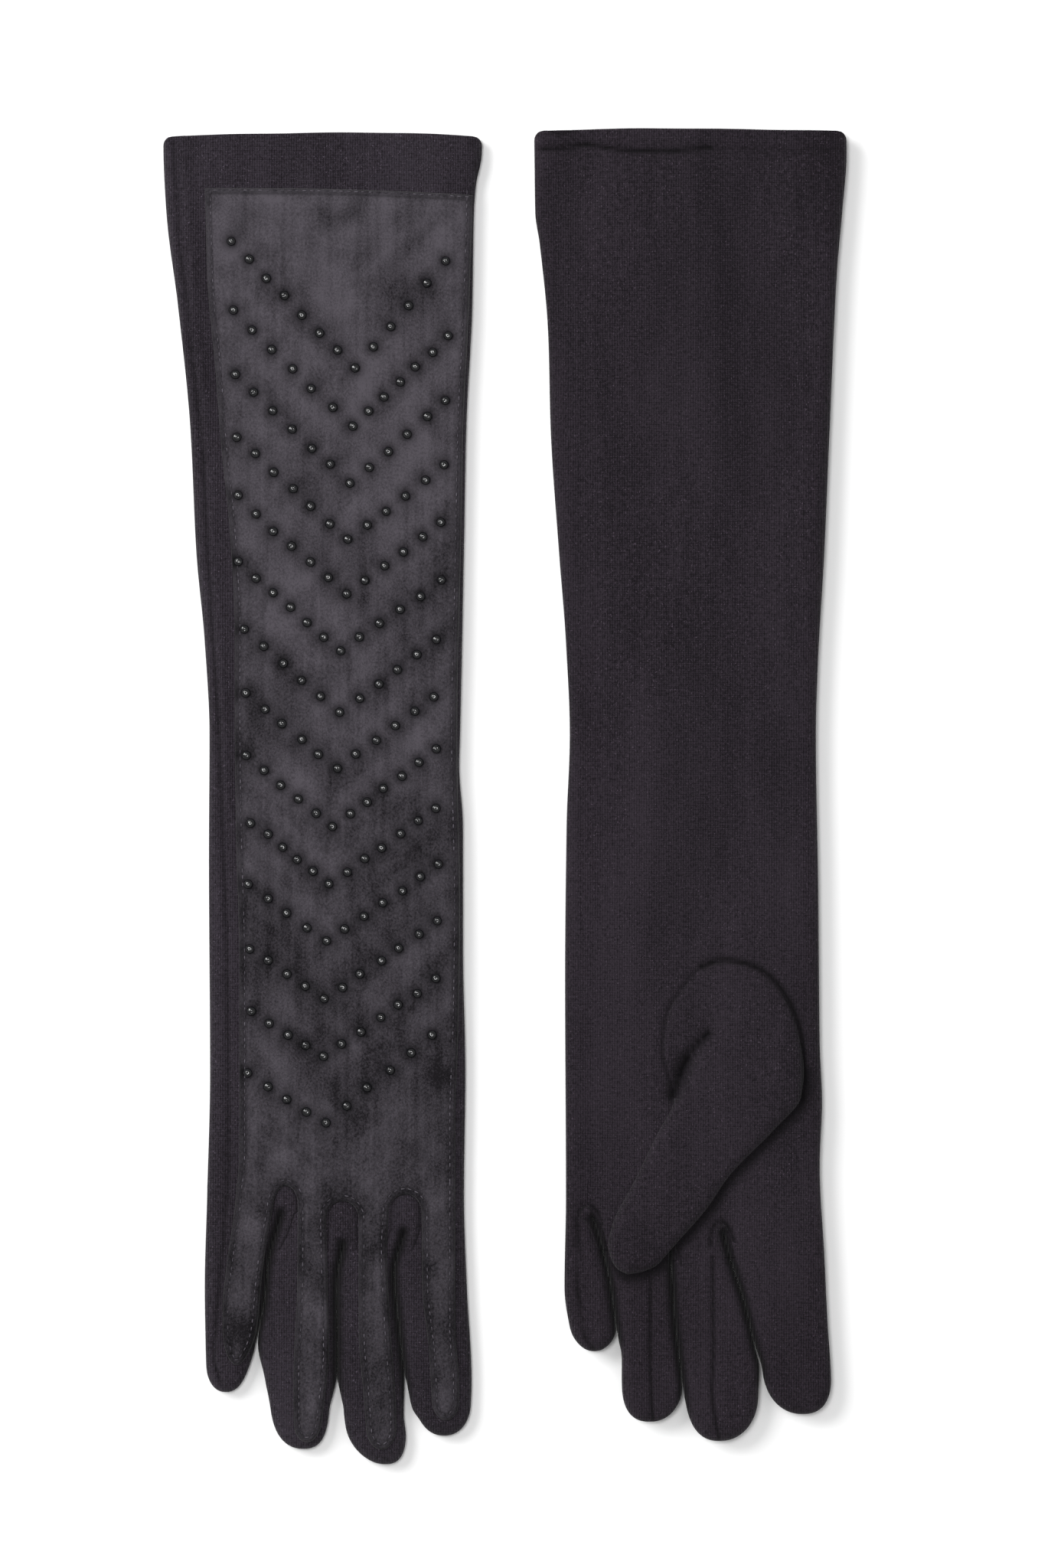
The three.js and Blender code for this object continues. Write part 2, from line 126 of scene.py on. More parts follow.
@dataclass(frozen=True)
class EdgeLine:
    """A smooth line down the glove, given as (y, x) stations in millimetres."""

    stations: tuple[tuple[float, float], ...]

    def at(self, y: np.ndarray) -> np.ndarray:
        """Finds the line's x at each y.

        Args:
            y: heights up the glove, in millimetres.

        Returns:
            The x of the line at each, held at its end values beyond its ends.
        """
        table = np.array(sorted(self.stations), float)
        ys, xs = table[:, 0], table[:, 1]
        step = np.diff(ys)
        slope = np.diff(xs) / step
        tangent = np.zeros(len(ys))
        tangent[0], tangent[-1] = slope[0], slope[-1]
        product = slope[:-1] * slope[1:]
        total = slope[:-1] + slope[1:]
        safe = np.where(np.abs(total) < 1e-9, 1.0, total)
        tangent[1:-1] = np.where(product > 0, 2.0 * product / safe, 0.0)
        y = np.clip(np.asarray(y, float), ys[0], ys[-1])
        i = np.clip(np.searchsorted(ys, y) - 1, 0, len(ys) - 2)
        t = (y - ys[i]) / step[i]
        h = step[i]
        return (
            xs[i] * (1 + 2 * t) * (1 - t) ** 2
            + tangent[i] * h * t * (1 - t) ** 2
            + xs[i + 1] * t * t * (3 - 2 * t)
            + tangent[i + 1] * h * t * t * (t - 1)
        )


def near_lines(lines: list[np.ndarray], x: np.ndarray, y: np.ndarray, reach: float = 14.0) -> np.ndarray:
    """Finds how far each point is from the nearest of some polylines.

    Args:
        lines: arrays of (x, y) points in millimetres.
        x: the points' x.
        y: the points' y, the same shape.
        reach: the longest distance that matters.

    Returns:
        The distances, never more than reach.
    """
    starts = np.concatenate([line[:-1] for line in lines])
    ends = np.concatenate([line[1:] for line in lines])
    shape = np.shape(x)
    points = np.stack([np.ravel(x), np.ravel(y)], axis=1)
    order = np.argsort(points[:, 1], kind="stable")
    found = np.full(len(points), reach)
    low = np.minimum(starts[:, 1], ends[:, 1]) - reach
    high = np.maximum(starts[:, 1], ends[:, 1]) + reach
    for first in range(0, len(order), 4000):
        part = order[first:first + 4000]
        p = points[part]
        use = (high > p[:, 1].min()) & (low < p[:, 1].max())
        if not use.any():
            continue
        a, b = starts[use], ends[use]
        along = b - a
        size = np.maximum((along ** 2).sum(1), 1e-12)
        offset = p[:, None, :] - a[None]
        t = np.clip((offset * along).sum(2) / size, 0.0, 1.0)
        gap = offset - t[..., None] * along
        found[part] = np.minimum(np.sqrt((gap ** 2).sum(2)).min(1), reach)
    return found.reshape(shape)


@dataclass(frozen=True)
class Ripple:
    """A gentle seeded unevenness in the lie of the cloth."""

    seed: int
    height: float = 0.22
    shortest: float = 24.0
    longest: float = 95.0
    waves: int = 9

    def at(self, x: np.ndarray, y: np.ndarray) -> np.ndarray:
        """Finds the rise of the cloth.

        Args:
            x: the points' x, in millimetres.
            y: the points' y.

        Returns:
            The rise at each point, in millimetres.
        """
        rng = np.random.default_rng(self.seed)
        total = np.zeros(np.shape(x))
        for _ in range(self.waves):
            length = rng.uniform(self.shortest, self.longest)
            turn = rng.uniform(0, math.pi)
            phase = rng.uniform(0, 2 * math.pi)
            along = np.cos(turn) * x + np.sin(turn) * y * 0.6
            total += np.sin(2 * math.pi * along / length + phase)
        return total * self.height / math.sqrt(self.waves / 2.0)


@dataclass(frozen=True)
class Crease:
    """A groove (or, with a negative depth, a ridge) that runs along a line in the cloth, with shade painted
    along it.
    """

    points: tuple[tuple[float, float], ...]
    depth: float
    width: float
    # dark: strength of the shade painted into the cloth's colour along the crease, 0 to 1.
    dark: float = 0.5

    def line(self) -> np.ndarray:
        """Returns a smooth polyline through the crease's points."""
        return smooth_path(self.points, 2.0)


def smooth_path(points: tuple[tuple[float, float], ...], step: float) -> np.ndarray:
    """Rounds a run of points into an even polyline.

    Args:
        points: (x, y) points in millimetres.
        step: how far apart the new points lie.

    Returns:
        An array of (x, y) points.
    """
    p = np.array(points, float)
    ends = np.vstack([2 * p[0] - p[1], p, 2 * p[-1] - p[-2]])
    run = []
    for i in range(1, len(ends) - 2):
        p0, p1, p2, p3 = ends[i - 1:i + 3]
        count = max(2, int(np.linalg.norm(p2 - p1) / step) + 1)
        t = np.linspace(0, 1, count, endpoint=False)[:, None]
        run.append(
            0.5 * (2 * p1 + (p2 - p0) * t + (2 * p0 - 5 * p1 + 4 * p2 - p3) * t ** 2
                   + (3 * p1 - p0 - 3 * p2 + p3) * t ** 3)
        )
    run.append(p[-1:])
    return np.concatenate(run)


@dataclass(frozen=True)
class Slit:
    """The gap between two neighbouring fingers, with the arch of the fourchette above it."""

    centre: EdgeLine
    gap: EdgeLine
    start: float
    arch_top: float
    arch_x: float
    leaf: float = 0.0
    arch: float = 6.0


@dataclass(frozen=True)
class FingerPlan:
    """One finger's end, with the suede strip that runs down it."""

    name: str
    tip: float
    cap: float
    strip_left: EdgeLine
    strip_right: EdgeLine
    strip_end: float
    strip_cap: float = 6.0
    lean: float = 0.0


@dataclass(frozen=True)
class ThumbPlan:
    """The outline of the thumb and the oval gusset that it grows from, as pairs of edge points."""

    stations: tuple[tuple[float, tuple[float, float], tuple[float, float]], ...]
    hinge: tuple[float, float]
    direction: tuple[float, float] = (-0.482, -0.876)
    fold: EdgeLine = EdgeLine(((-80.3, 68.8), (-86.8, 64.6), (-94.1, 61.0), (-102.2, 57.4), (-114.7, 51.2)))


@dataclass
class GlovePlan:
    """Everything about one glove that is seen in plan, in millimetres."""

    hand: str
    facing: Facing
    middle: float
    mid_z: float
    left: EdgeLine
    right: EdgeLine
    slits: tuple[Slit, ...]
    fingers: tuple[FingerPlan, ...]
    suede_left: EdgeLine
    suede_right: EdgeLine
    suede_top: float
    thumb: ThumbPlan
    cuff_y: float
    cuff_bow: float
    creases: tuple[Crease, ...] = ()
    half: float = 3.35
    rounding: float = 4.6
    seed: int = 1

    def finger_sides(self, index: int, y: np.ndarray) -> tuple[np.ndarray, np.ndarray]:
        """Finds a finger's two edges.

        Args:
            index: 0 for the little finger to 3 for the index finger.
            y: heights, in millimetres.

        Returns:
            The x of the left and the right edge at each height.
        """
        plan = self.fingers[index]
        if index == 0:
            left = self.left.at(y)
        else:
            slit = self.slits[index - 1]
            left = slit.centre.at(y) + slit.gap.at(y) / 2
        if index == 3:
            right = self.right.at(y)
        else:
            slit = self.slits[index]
            right = slit.centre.at(y) - slit.gap.at(y) / 2
        share = np.clip((plan.tip + plan.cap - y) / plan.cap, 0.0, 1.0)
        narrow = np.maximum((1 - share ** 2.3) ** (1 / 2.3), 0.05)
        centre = (left + right) / 2 + plan.lean * share ** 2
        half = (right - left) / 2 * narrow
        return centre - half, centre + half

    def rim(self) -> list[np.ndarray]:
        """Draws the outline of the glove, slits and fingertips with it.

        Returns:
            Polylines of (x, y) points.
        """
        lines = []
        for i, plan in enumerate(self.fingers):
            cap = plan.tip + plan.cap * (1 - np.sin(np.linspace(0, math.pi / 2, 22)))
            straight = np.arange(plan.tip + plan.cap, SPLIT_Y, 2.0)[::-1]
            y = np.concatenate([straight, cap])
            left, right = self.finger_sides(i, y)
            first = 0 if i == 0 else int(np.searchsorted(-y, -self.slits[i - 1].start))
            last = 0 if i == 3 else int(np.searchsorted(-y, -self.slits[i].start))
            lines.append(walk(left, right, y, first, last))
        y = np.arange(self.cuff_y, SPLIT_Y - 2, -2.0)
        return lines + [np.stack([edge.at(y), y], axis=1) for edge in (self.left, self.right)]


class GloveForm:
    """Turns a glove's plan into heights, so that every piece of it lies on the same surface, and works out
    the shade painted on it.
    """

    def __init__(self, plan: GlovePlan) -> None:
        """Keeps the plan and works out its outline once.

        Args:
            plan: the glove's plan.
        """
        self.plan = plan
        self.outline = plan.rim()
        self.crease_lines = [(crease, crease.line()) for crease in plan.creases]
        self.slit_lines = [self.slit_line(slit) for slit in plan.slits]
        # The line along which the thumb's shadow is painted on the palm.
        self.thumb_shadow = self.thumb_shadow_line()

    def slit_line(self, slit: Slit) -> np.ndarray:
        """Draws the line where two fingers touch, along which shade is painted.

        Args:
            slit: the slit between them.

        Returns:
            Its (x, y) points.
        """
        y = np.arange(slit.start, -225.0, -2.0)
        y = y[slit.gap.at(y) < 2.0]
        return np.stack([slit.centre.at(y), y], axis=1)

    def thumb_shadow_line(self) -> list[np.ndarray]:
        """Draws the line of the thumb's shadow painted on the palm, along the thumb's edge on the side away
        from the light, if the thumb lies on top.

        Returns:
            The edge as one polyline, or nothing.
        """
        if self.plan.facing is Facing.BACK_UP:
            return []
        stations = self.plan.thumb.stations
        edge = [(right[0] + 0.8, right[1] - 0.8) for t, left, right in stations if t >= -0.3]
        tip = [(left[0] + 1.0, left[1] - 1.0) for t, left, right in stations if t > 0.9][::-1]
        return [smooth_path(tuple(edge + tip), 2.0)]

    def rise(self, x: np.ndarray, y: np.ndarray) -> np.ndarray:
        """Finds how far the cloth's face stands from the glove's middle level.

        Args:
            x: the points' x, in millimetres.
            y: the points' y.

        Returns:
            The distances, in millimetres.
        """
        plan = self.plan
        away = near_lines(self.outline, x, y)
        return plan.half * rounded(away / plan.rounding)

    def face(self, x: np.ndarray, y: np.ndarray, upper: bool) -> np.ndarray:
        """Finds the height of the glove's upper or lower face.

        Args:
            x: the points' x, in millimetres.
            y: the points' y.
            upper: True for the face that looks upwards.

        Returns:
            Heights in millimetres.
        """
        plan = self.plan
        rise = self.rise(x, y)
        ramp = np.clip(rise / plan.half, 0.0, 1.0) ** 2
        if upper:
            lift = rise + Ripple(plan.seed).at(x, y) * ramp
            for crease, line in self.crease_lines:
                away = near_lines([line], x, y, CREASE_REACH)
                lift = lift - crease.depth * np.exp(-((away / crease.width) ** 2)) * ramp
            return plan.mid_z + np.maximum(lift, 0.0)
        rise = rise + Ripple(plan.seed + 40, 0.08).at(x, y) * ramp
        if plan.facing is Facing.BACK_UP:
            rise = rise - self.pocket(x, y)
        return plan.mid_z - np.maximum(rise, 0.05)

    def pocket(self, x: np.ndarray, y: np.ndarray) -> np.ndarray:
        """Finds how far the cloth is pushed in over a thumb that is tucked underneath.

        Args:
            x: the points' x, in millimetres.
            y: the points' y.

        Returns:
            The push at each point, in millimetres.
        """
        stations = self.plan.thumb.stations
        spine = np.array([[(l[0] + r[0]) / 2, (l[1] + r[1]) / 2] for t, l, r in stations])
        half = np.array([math.dist(l, r) / 2 for t, l, r in stations])
        found = np.full(np.shape(x), 99.0)
        for i in range(len(spine) - 1):
            for t in np.linspace(0, 1, 5):
                centre = spine[i] * (1 - t) + spine[i + 1] * t
                radius = half[i] * (1 - t) + half[i + 1] * t
                found = np.minimum(found, np.hypot(x - centre[0], y - centre[1]) - radius)
        return 3.4 * (1 - smoothstep((found - 0.5) / 5.0))

    def painted_shade(self, x: np.ndarray, y: np.ndarray, beneath: bool = True) -> np.ndarray:
        """Finds the shade painted into the cloth's colour: in the slits between the fingers, along the
        creases, and the thumb's shadow on the palm.

        Args:
            x: the points' x, in millimetres.
            y: the points' y.
            beneath: True for cloth that the thumb lies on, which gets the thumb's painted shadow.

        Returns:
            Painted shade from 0 to 1.
        """
        away = near_lines(self.slit_lines, x, y, CREASE_REACH)
        # Painted shade in the slits between the fingers.
        total = 0.97 * np.exp(-((away / 2.0) ** 3))
        if beneath and self.thumb_shadow:
            # Painted shadow of the thumb on the palm.
            away = near_lines(self.thumb_shadow, x, y, CREASE_REACH)
            total = np.maximum(total, 0.85 * np.exp(-((away / 2.4) ** 2)))
        for crease, line in self.crease_lines:
            away = near_lines([line], x, y, CREASE_REACH)
            # Painted shade along each crease.
            total = np.maximum(total, crease.dark * np.exp(-((away / (crease.width * 0.8)) ** 2)))
        return np.clip(total, 0.0, 1.0)


# ---------------------------------------------------------------- meshes


def slab(
    name: str,
    x: np.ndarray,
    y: np.ndarray,
    high: np.ndarray,
    low: np.ndarray,
    material: bpy.types.Material,
    shade: np.ndarray | None = None,
) -> bpy.types.Object:
    """Makes a closed piece between two height surfaces over one grid of points.

    Args:
        name: the object's name.
        x: grid of x, in millimetres; rows run down the glove and columns across it.
        y: grid of y.
        high: the upper surface's heights.
        low: the lower surface's heights.
        material: the finish.
        shade: the shade painted into the cloth's colour at each upper point, from 0 to 1.

    Returns:
        The mesh object, linked to the scene.
    """
    rows, columns = x.shape
    low = np.minimum(low, high - 0.04)
    upper = np.stack([x, y, high], axis=-1).reshape(-1, 3)
    lower = np.stack([x, y, low], axis=-1).reshape(-1, 3)
    vertices = np.concatenate([upper, lower]) * MM
    grid = np.arange(rows * columns).reshape(rows, columns)
    below = grid + rows * columns
    a, b, c, d = grid[:-1, :-1], grid[1:, :-1], grid[1:, 1:], grid[:-1, 1:]
    faces = [np.stack([a, b, c, d], axis=-1).reshape(-1, 4)]
    a, b, c, d = below[:-1, :-1], below[:-1, 1:], below[1:, 1:], below[1:, :-1]
    faces.append(np.stack([a, b, c, d], axis=-1).reshape(-1, 4))
    loop = np.concatenate([grid[:, 0], grid[-1, 1:], grid[::-1, -1][1:], grid[0, ::-1][1:]])
    first, second = loop[:-1], loop[1:]
    under = rows * columns
    faces.append(np.stack([first, first + under, second + under, second], axis=-1))
    mesh = bpy.data.meshes.new(name)
    mesh.from_pydata(vertices.tolist(), [], np.concatenate(faces).tolist())
    mesh.update()
    # The shade attribute carries painted shade for the finishes.
    flat = np.zeros(len(vertices), np.float32)
    if shade is not None:
        flat[:rows * columns] = np.ravel(shade)
        flat[rows * columns:] = np.ravel(shade)
    mesh.attributes.new("shade", "FLOAT", "POINT").data.foreach_set("value", flat)
    mesh.materials.append(material)
    mesh.shade_smooth()
    mesh.set_sharp_from_angle(angle=math.radians(62))
    thing = bpy.data.objects.new(name, mesh)
    bpy.context.scene.collection.objects.link(thing)
    return thing


def across(count: int, rounding: float, width: float) -> np.ndarray:
    """Spaces columns across a piece, closer together where its edges round over.

    Args:
        count: how many columns the flat middle has.
        rounding: width of the rounded edge.
        width: width of the whole piece.

    Returns:
        Shares from 0 to 1 across the piece.
    """
    bend = 1 - np.cos(np.linspace(0, math.pi / 2, 9))
    edge = np.minimum(bend * rounding / width, 0.5)
    middle = np.linspace(edge[-1], 1 - edge[-1], max(count, 2))
    return np.unique(np.round(np.concatenate([edge, middle, 1 - edge]), 7))


def capped_rows(top: float, tip: float, cap: float, step: float, extra: tuple[float, ...] = ()) -> np.ndarray:
    """Spaces rows down a finger-like piece, closer together round its end.

    Args:
        top: y of its upper end.
        tip: y of its rounded end.
        cap: length of the rounded end.
        step: usual distance between rows.
        extra: further rows.

    Returns:
        The rows' y, from top to tip.
    """
    straight = np.arange(top, tip + cap, -step)
    turn = tip + cap * (1 - np.sin(np.linspace(0, math.pi / 2, 16)))
    rows = np.unique(np.round(np.concatenate([straight, turn, np.array(extra)]), 4))[::-1]
    keep = [rows[0]]
    for row in rows[1:]:
        if keep[-1] - row > 0.04:
            keep.append(row)
    return np.array(keep)


# ---------------------------------------------------------------- finishes


class Wiring:
    """Adds nodes to a material and joins them."""

    def __init__(self, name: str) -> None:
        """Starts an empty material with a shader on its output.

        Args:
            name: the material's name.
        """
        self.material = bpy.data.materials.new(name)
        self.material.use_nodes = True
        self.tree = self.material.node_tree
        self.shader = next(n for n in self.tree.nodes if n.bl_idname == "ShaderNodeBsdfPrincipled")

    def node(self, kind: str, **settings: object) -> bpy.types.Node:
        """Adds one node and sets its properties.

        Args:
            kind: the node's type.
            **settings: the properties.

        Returns:
            The node.
        """
        made = self.tree.nodes.new(kind)
        for key, value in settings.items():
            setattr(made, key, value)
        return made

    def join(self, start: bpy.types.NodeSocket, end: bpy.types.NodeSocket) -> None:
        """Joins two sockets."""
        self.tree.links.new(start, end)

    def coordinates(self, scale: tuple[float, float, float]) -> bpy.types.NodeSocket:
        """Reads the object's own coordinates in millimetres, times a scale.

        Args:
            scale: the scale along x, y and z.

        Returns:
            The coordinates' socket.
        """
        place = self.node("ShaderNodeTexCoord")
        mapping = self.node("ShaderNodeMapping")
        mapping.inputs["Scale"].default_value = tuple(1000.0 * s for s in scale)
        self.join(place.outputs["Object"], mapping.inputs["Vector"])
        return mapping.outputs["Vector"]

    def noise_over(self, vector: bpy.types.NodeSocket, detail: float, rough: float) -> bpy.types.NodeSocket:
        """Makes a noise over some coordinates.

        Args:
            vector: the coordinates.
            detail: how many finer layers it has.
            rough: how strong those are.

        Returns:
            The noise's socket.
        """
        made = self.node("ShaderNodeTexNoise")
        made.inputs["Scale"].default_value = 1.0
        made.inputs["Detail"].default_value = detail
        made.inputs["Roughness"].default_value = rough
        self.join(vector, made.inputs["Vector"])
        return made.outputs["Fac"]

    def noise(self, scale: tuple[float, float, float], detail: float, rough: float) -> bpy.types.NodeSocket:
        """Returns a noise whose patches are 1/scale millimetres across."""
        return self.noise_over(self.coordinates(scale), detail, rough)

    def place(self) -> tuple[bpy.types.NodeSocket, bpy.types.NodeSocket]:
        """Reads the object's own place in millimetres.

        Returns:
            The sockets of x and y.
        """
        split = self.node("ShaderNodeSeparateXYZ")
        self.join(self.coordinates((1.0, 1.0, 1.0)), split.inputs["Vector"])
        return split.outputs["X"], split.outputs["Y"]

    def chevrons(self, middle: float, lean: float, scale: tuple[float, float]) -> bpy.types.NodeSocket:
        """Returns a noise in V-shaped bands about an upright line.

        Args:
            middle: x of the line that the Vs stand on, in millimetres.
            lean: how steeply the bands rise to both sides.
            scale: patches per millimetre along and across a band.

        Returns:
            The noise's socket.
        """
        x, y = self.place()
        off = self.maths("ABSOLUTE", self.maths("SUBTRACT", x, middle), 0.0)
        up = self.maths("SUBTRACT", y, self.maths("MULTIPLY", off, lean))
        both = self.node("ShaderNodeCombineXYZ")
        self.join(self.maths("MULTIPLY", off, scale[0]), both.inputs["X"])
        self.join(self.maths("MULTIPLY", up, scale[1]), both.inputs["Y"])
        return self.noise_over(both.outputs["Vector"], 2.0, 0.5)

    def blend(self, *shares: tuple[bpy.types.NodeSocket, float]) -> bpy.types.NodeSocket:
        """Adds some sockets up, each times its share.

        Args:
            *shares: pairs of a socket and its share.

        Returns:
            The sum's socket.
        """
        total = 0.0
        for value, share in shares:
            total = self.maths("ADD", total, self.maths("MULTIPLY", value, share))
        return total

    def maths(self, kind: str, first: object, second: object) -> bpy.types.NodeSocket:
        """Works out one sum of two sockets or numbers.

        Args:
            kind: the kind of sum.
            first: the first socket or number.
            second: the second.

        Returns:
            The result's socket.
        """
        made = self.node("ShaderNodeMath", operation=kind)
        for socket, value in zip(made.inputs, (first, second)):
            if isinstance(value, (int, float)):
                socket.default_value = value
            else:
                self.join(value, socket)
        return made.outputs[0]

    def ramp(
        self, value: bpy.types.NodeSocket, low: float, high: float, start: float, end: float
    ) -> bpy.types.NodeSocket:
        """Spreads a value from one range to another, held at its ends.

        Args:
            value: the value.
            low: where it starts.
            high: where it ends.
            start: the result at low.
            end: the result at high.

        Returns:
            The result's socket.
        """
        made = self.node("ShaderNodeMapRange")
        for name, number in (("From Min", low), ("From Max", high), ("To Min", start), ("To Max", end)):
            made.inputs[name].default_value = number
        self.join(value, made.inputs["Value"])
        return made.outputs["Result"]

    def mix(self, share: bpy.types.NodeSocket, first: object, second: object) -> bpy.types.NodeSocket:
        """Mixes two colours.

        Args:
            share: how much of the second shows.
            first: the first colour or socket.
            second: the second.

        Returns:
            The colour's socket.
        """
        made = self.node("ShaderNodeMix", data_type="RGBA")
        self.join(share, made.inputs["Factor"])
        for socket, value in ((made.inputs[6], first), (made.inputs[7], second)):
            if isinstance(value, tuple):
                socket.default_value = (*value, 1.0)
            else:
                self.join(value, socket)
        return made.outputs[2]

    def bump(self, height: bpy.types.NodeSocket, distance: float, strength: float = 1.0) -> None:
        """Roughens the shader's surface.

        Args:
            height: the height's socket.
            distance: how high it stands, in millimetres.
            strength: how strongly it shows.
        """
        made = self.node("ShaderNodeBump")
        made.inputs["Distance"].default_value = distance * MM
        made.inputs["Strength"].default_value = strength
        self.join(height, made.inputs["Height"])
        self.join(made.outputs["Normal"], self.shader.inputs["Normal"])

    def surface(self, values: dict[str, float]) -> None:
        """Sets plain numbers on the shader's sockets."""
        for name, value in values.items():
            self.shader.inputs[name].default_value = value


def linear(red: int, green: int, blue: int) -> tuple[float, float, float]:
    """Returns a display colour, 0 to 255, as linear light."""
    share = [c / 255 for c in (red, green, blue)]
    return tuple(c / 12.92 if c < 0.04045 else ((c + 0.055) / 1.055) ** 2.4 for c in share)


@dataclass(frozen=True)
class JerseyFinish:
    """Fine knitted jersey: narrow wales down the glove, courses across, faint mottling and lint, darkened by
    painted shade.
    """

    name: str
    light: tuple[float, float, float]
    dark: tuple[float, float, float]
    wale: float = 0.83
    course: float = 0.62

    def build(self) -> bpy.types.Material:
        """Makes the material.

        Returns:
            The finished material.
        """
        w = Wiring(self.name)
        broad = w.noise((0.035, 0.012, 0.02), 4.0, 0.6)
        streak = w.noise((0.55, 0.012, 0.05), 2.0, 0.5)
        fine = w.noise((1.5, 1.1, 0.7), 3.0, 0.75)
        dash = w.noise((0.4, 1.9, 0.4), 1.0, 0.5)
        turn = 2 * math.pi / 20.0
        wales = w.node("ShaderNodeTexWave", wave_type="BANDS", bands_direction="X")
        wales.inputs["Scale"].default_value = 1.0
        wales.inputs["Distortion"].default_value = 0.35
        wales.inputs["Detail"].default_value = 1.0
        w.join(w.coordinates((turn / self.wale, 0.12, 0.12)), wales.inputs["Vector"])
        courses = w.node("ShaderNodeTexWave", wave_type="BANDS", bands_direction="Y")
        courses.inputs["Scale"].default_value = 1.0
        courses.inputs["Distortion"].default_value = 0.5
        w.join(w.coordinates((0.3, turn / self.course, 0.1)), courses.inputs["Vector"])
        knit = w.maths("MULTIPLY", wales.outputs["Fac"], courses.outputs["Fac"])
        tone = w.blend((broad, 0.25), (streak, 0.06), (fine, 0.5), (dash, 0.15), (knit, 0.14))
        body = w.mix(w.ramp(tone, 0.43, 0.60, 0.0, 1.0), self.dark, self.light)
        lint = w.ramp(w.noise((2.6, 1.7, 1.0), 0.0, 0.5), 0.735, 0.80, 0.0, 0.55)
        body = w.mix(lint, body, tuple(min(1.0, c * 3.2) for c in self.light))
        # Painted shade: the shade attribute mixes in a much darker jersey colour.
        shade = w.node("ShaderNodeAttribute", attribute_name="shade")
        body = w.mix(shade.outputs["Fac"], body, tuple(c * 0.3 for c in self.dark))
        w.join(body, w.shader.inputs["Base Color"])
        height = w.maths("ADD", wales.outputs["Fac"], w.maths("MULTIPLY", courses.outputs["Fac"], 0.35))
        height = w.maths("ADD", height, w.maths("MULTIPLY", fine, 0.8))
        w.bump(height, 0.16, 0.9)
        w.surface({
            "Roughness": 0.9, "Specular IOR Level": 0.12, "Sheen Weight": 0.06, "Sheen Roughness": 0.5,
        })
        return w.material


@dataclass(frozen=True)
class SuedeFinish:
    """Soft microsuede with a blotchy nap, darkened by painted shade round the studs, in the stitch grooves
    and along its edges.
    """

    name: str
    light: tuple[float, float, float]
    dark: tuple[float, float, float]
    # deep: the colour of the painted shade.
    deep: tuple[float, float, float]
    middle: float = STUD_AXIS_X

    def build(self) -> bpy.types.Material:
        """Makes the material.

        Returns:
            The finished material.
        """
        w = Wiring(self.name)
        broad = w.noise((0.034, 0.026, 0.02), 2.0, 0.5)
        blotch = w.noise((0.11, 0.08, 0.1), 2.0, 0.45)
        streak = w.noise((0.48, 0.02, 0.1), 2.0, 0.5)
        grain = w.noise((1.5, 1.2, 1.5), 4.0, 0.8)
        # Painted sheen: lighter and darker V-shaped bands of nap about the studs' line.
        nap_sheen = w.chevrons(self.middle, 0.9, (0.022, 0.075))
        lift = w.ramp(w.place()[1], -110.0, 210.0, -0.022, 0.042)
        tone = w.blend(
            (broad, 0.17), (blotch, 0.19), (streak, 0.1), (grain, 0.38), (nap_sheen, 0.16), (lift, 1.0)
        )
        body = w.mix(w.ramp(tone, 0.40, 0.60, 0.0, 1.0), self.dark, self.light)
        # Painted shade: the shade attribute mixes in the deep colour.
        shade = w.node("ShaderNodeAttribute", attribute_name="shade")
        body = w.mix(shade.outputs["Fac"], body, self.deep)
        w.join(body, w.shader.inputs["Base Color"])
        height = w.maths("ADD", w.maths("MULTIPLY", blotch, 0.6), grain)
        w.bump(height, 0.16, 0.6)
        w.surface({
            "Roughness": 0.95, "Specular IOR Level": 0.1, "Sheen Weight": 0.12, "Sheen Roughness": 0.45,
        })
        return w.material


@dataclass(frozen=True)
class PlainFinish:
    """A plain colour with its own gloss."""

    name: str
    colour: tuple[float, float, float]
    roughness: float
    coat: float = 0.0
    gloss: float = 0.5

    def build(self) -> bpy.types.Material:
        """Makes the material.

        Returns:
            The finished material.
        """
        w = Wiring(self.name)
        w.shader.inputs["Base Color"].default_value = (*self.colour, 1.0)
        w.surface({
            "Roughness": self.roughness, "Specular IOR Level": self.gloss,
            "Coat Weight": self.coat, "Coat Roughness": 0.08,
        })
        return w.material


@dataclass(frozen=True)
class ThreadFinish:
    """Sewing thread, with highlights painted here and there where it catches the light."""

    name: str
    light: tuple[float, float, float]
    dark: tuple[float, float, float]

    def build(self) -> bpy.types.Material:
        """Makes the material.

        Returns:
            The finished material.
        """
        w = Wiring(self.name)
        patch = w.noise((0.25, 0.25, 0.25), 2.0, 0.6)
        # Painted highlights: random patches of the light thread colour.
        w.join(w.mix(w.ramp(patch, 0.4, 0.6, 0.0, 1.0), self.dark, self.light), w.shader.inputs["Base Color"])
        w.surface({"Roughness": 0.7, "Specular IOR Level": 0.2})
        return w.material


@dataclass
class Wardrobe:
    """The finishes of the pair, made once."""

    jersey_back: bpy.types.Material = field(init=False)
    jersey_palm: bpy.types.Material = field(init=False)
    suede: bpy.types.Material = field(init=False)
    stud: bpy.types.Material = field(init=False)
    thread: bpy.types.Material = field(init=False)

    def __post_init__(self) -> None:
        """Builds every finish."""
        self.jersey_back = JerseyFinish("jersey_back", linear(49, 44, 51), linear(20, 16, 21)).build()
        self.jersey_palm = JerseyFinish("jersey_palm", linear(44, 38, 45), linear(16, 12, 17)).build()
        # The suede's last colour is the colour of its painted shade.
        self.suede = SuedeFinish("suede", linear(74, 70, 76), linear(19, 17, 20), linear(4, 4, 5)).build()
        self.stud = PlainFinish("stud", (0.003, 0.003, 0.004), 0.13, 0.0, 0.72).build()
        self.thread = ThreadFinish("thread", linear(84, 80, 87), linear(38, 35, 40)).build()


# ---------------------------------------------------------------- pieces


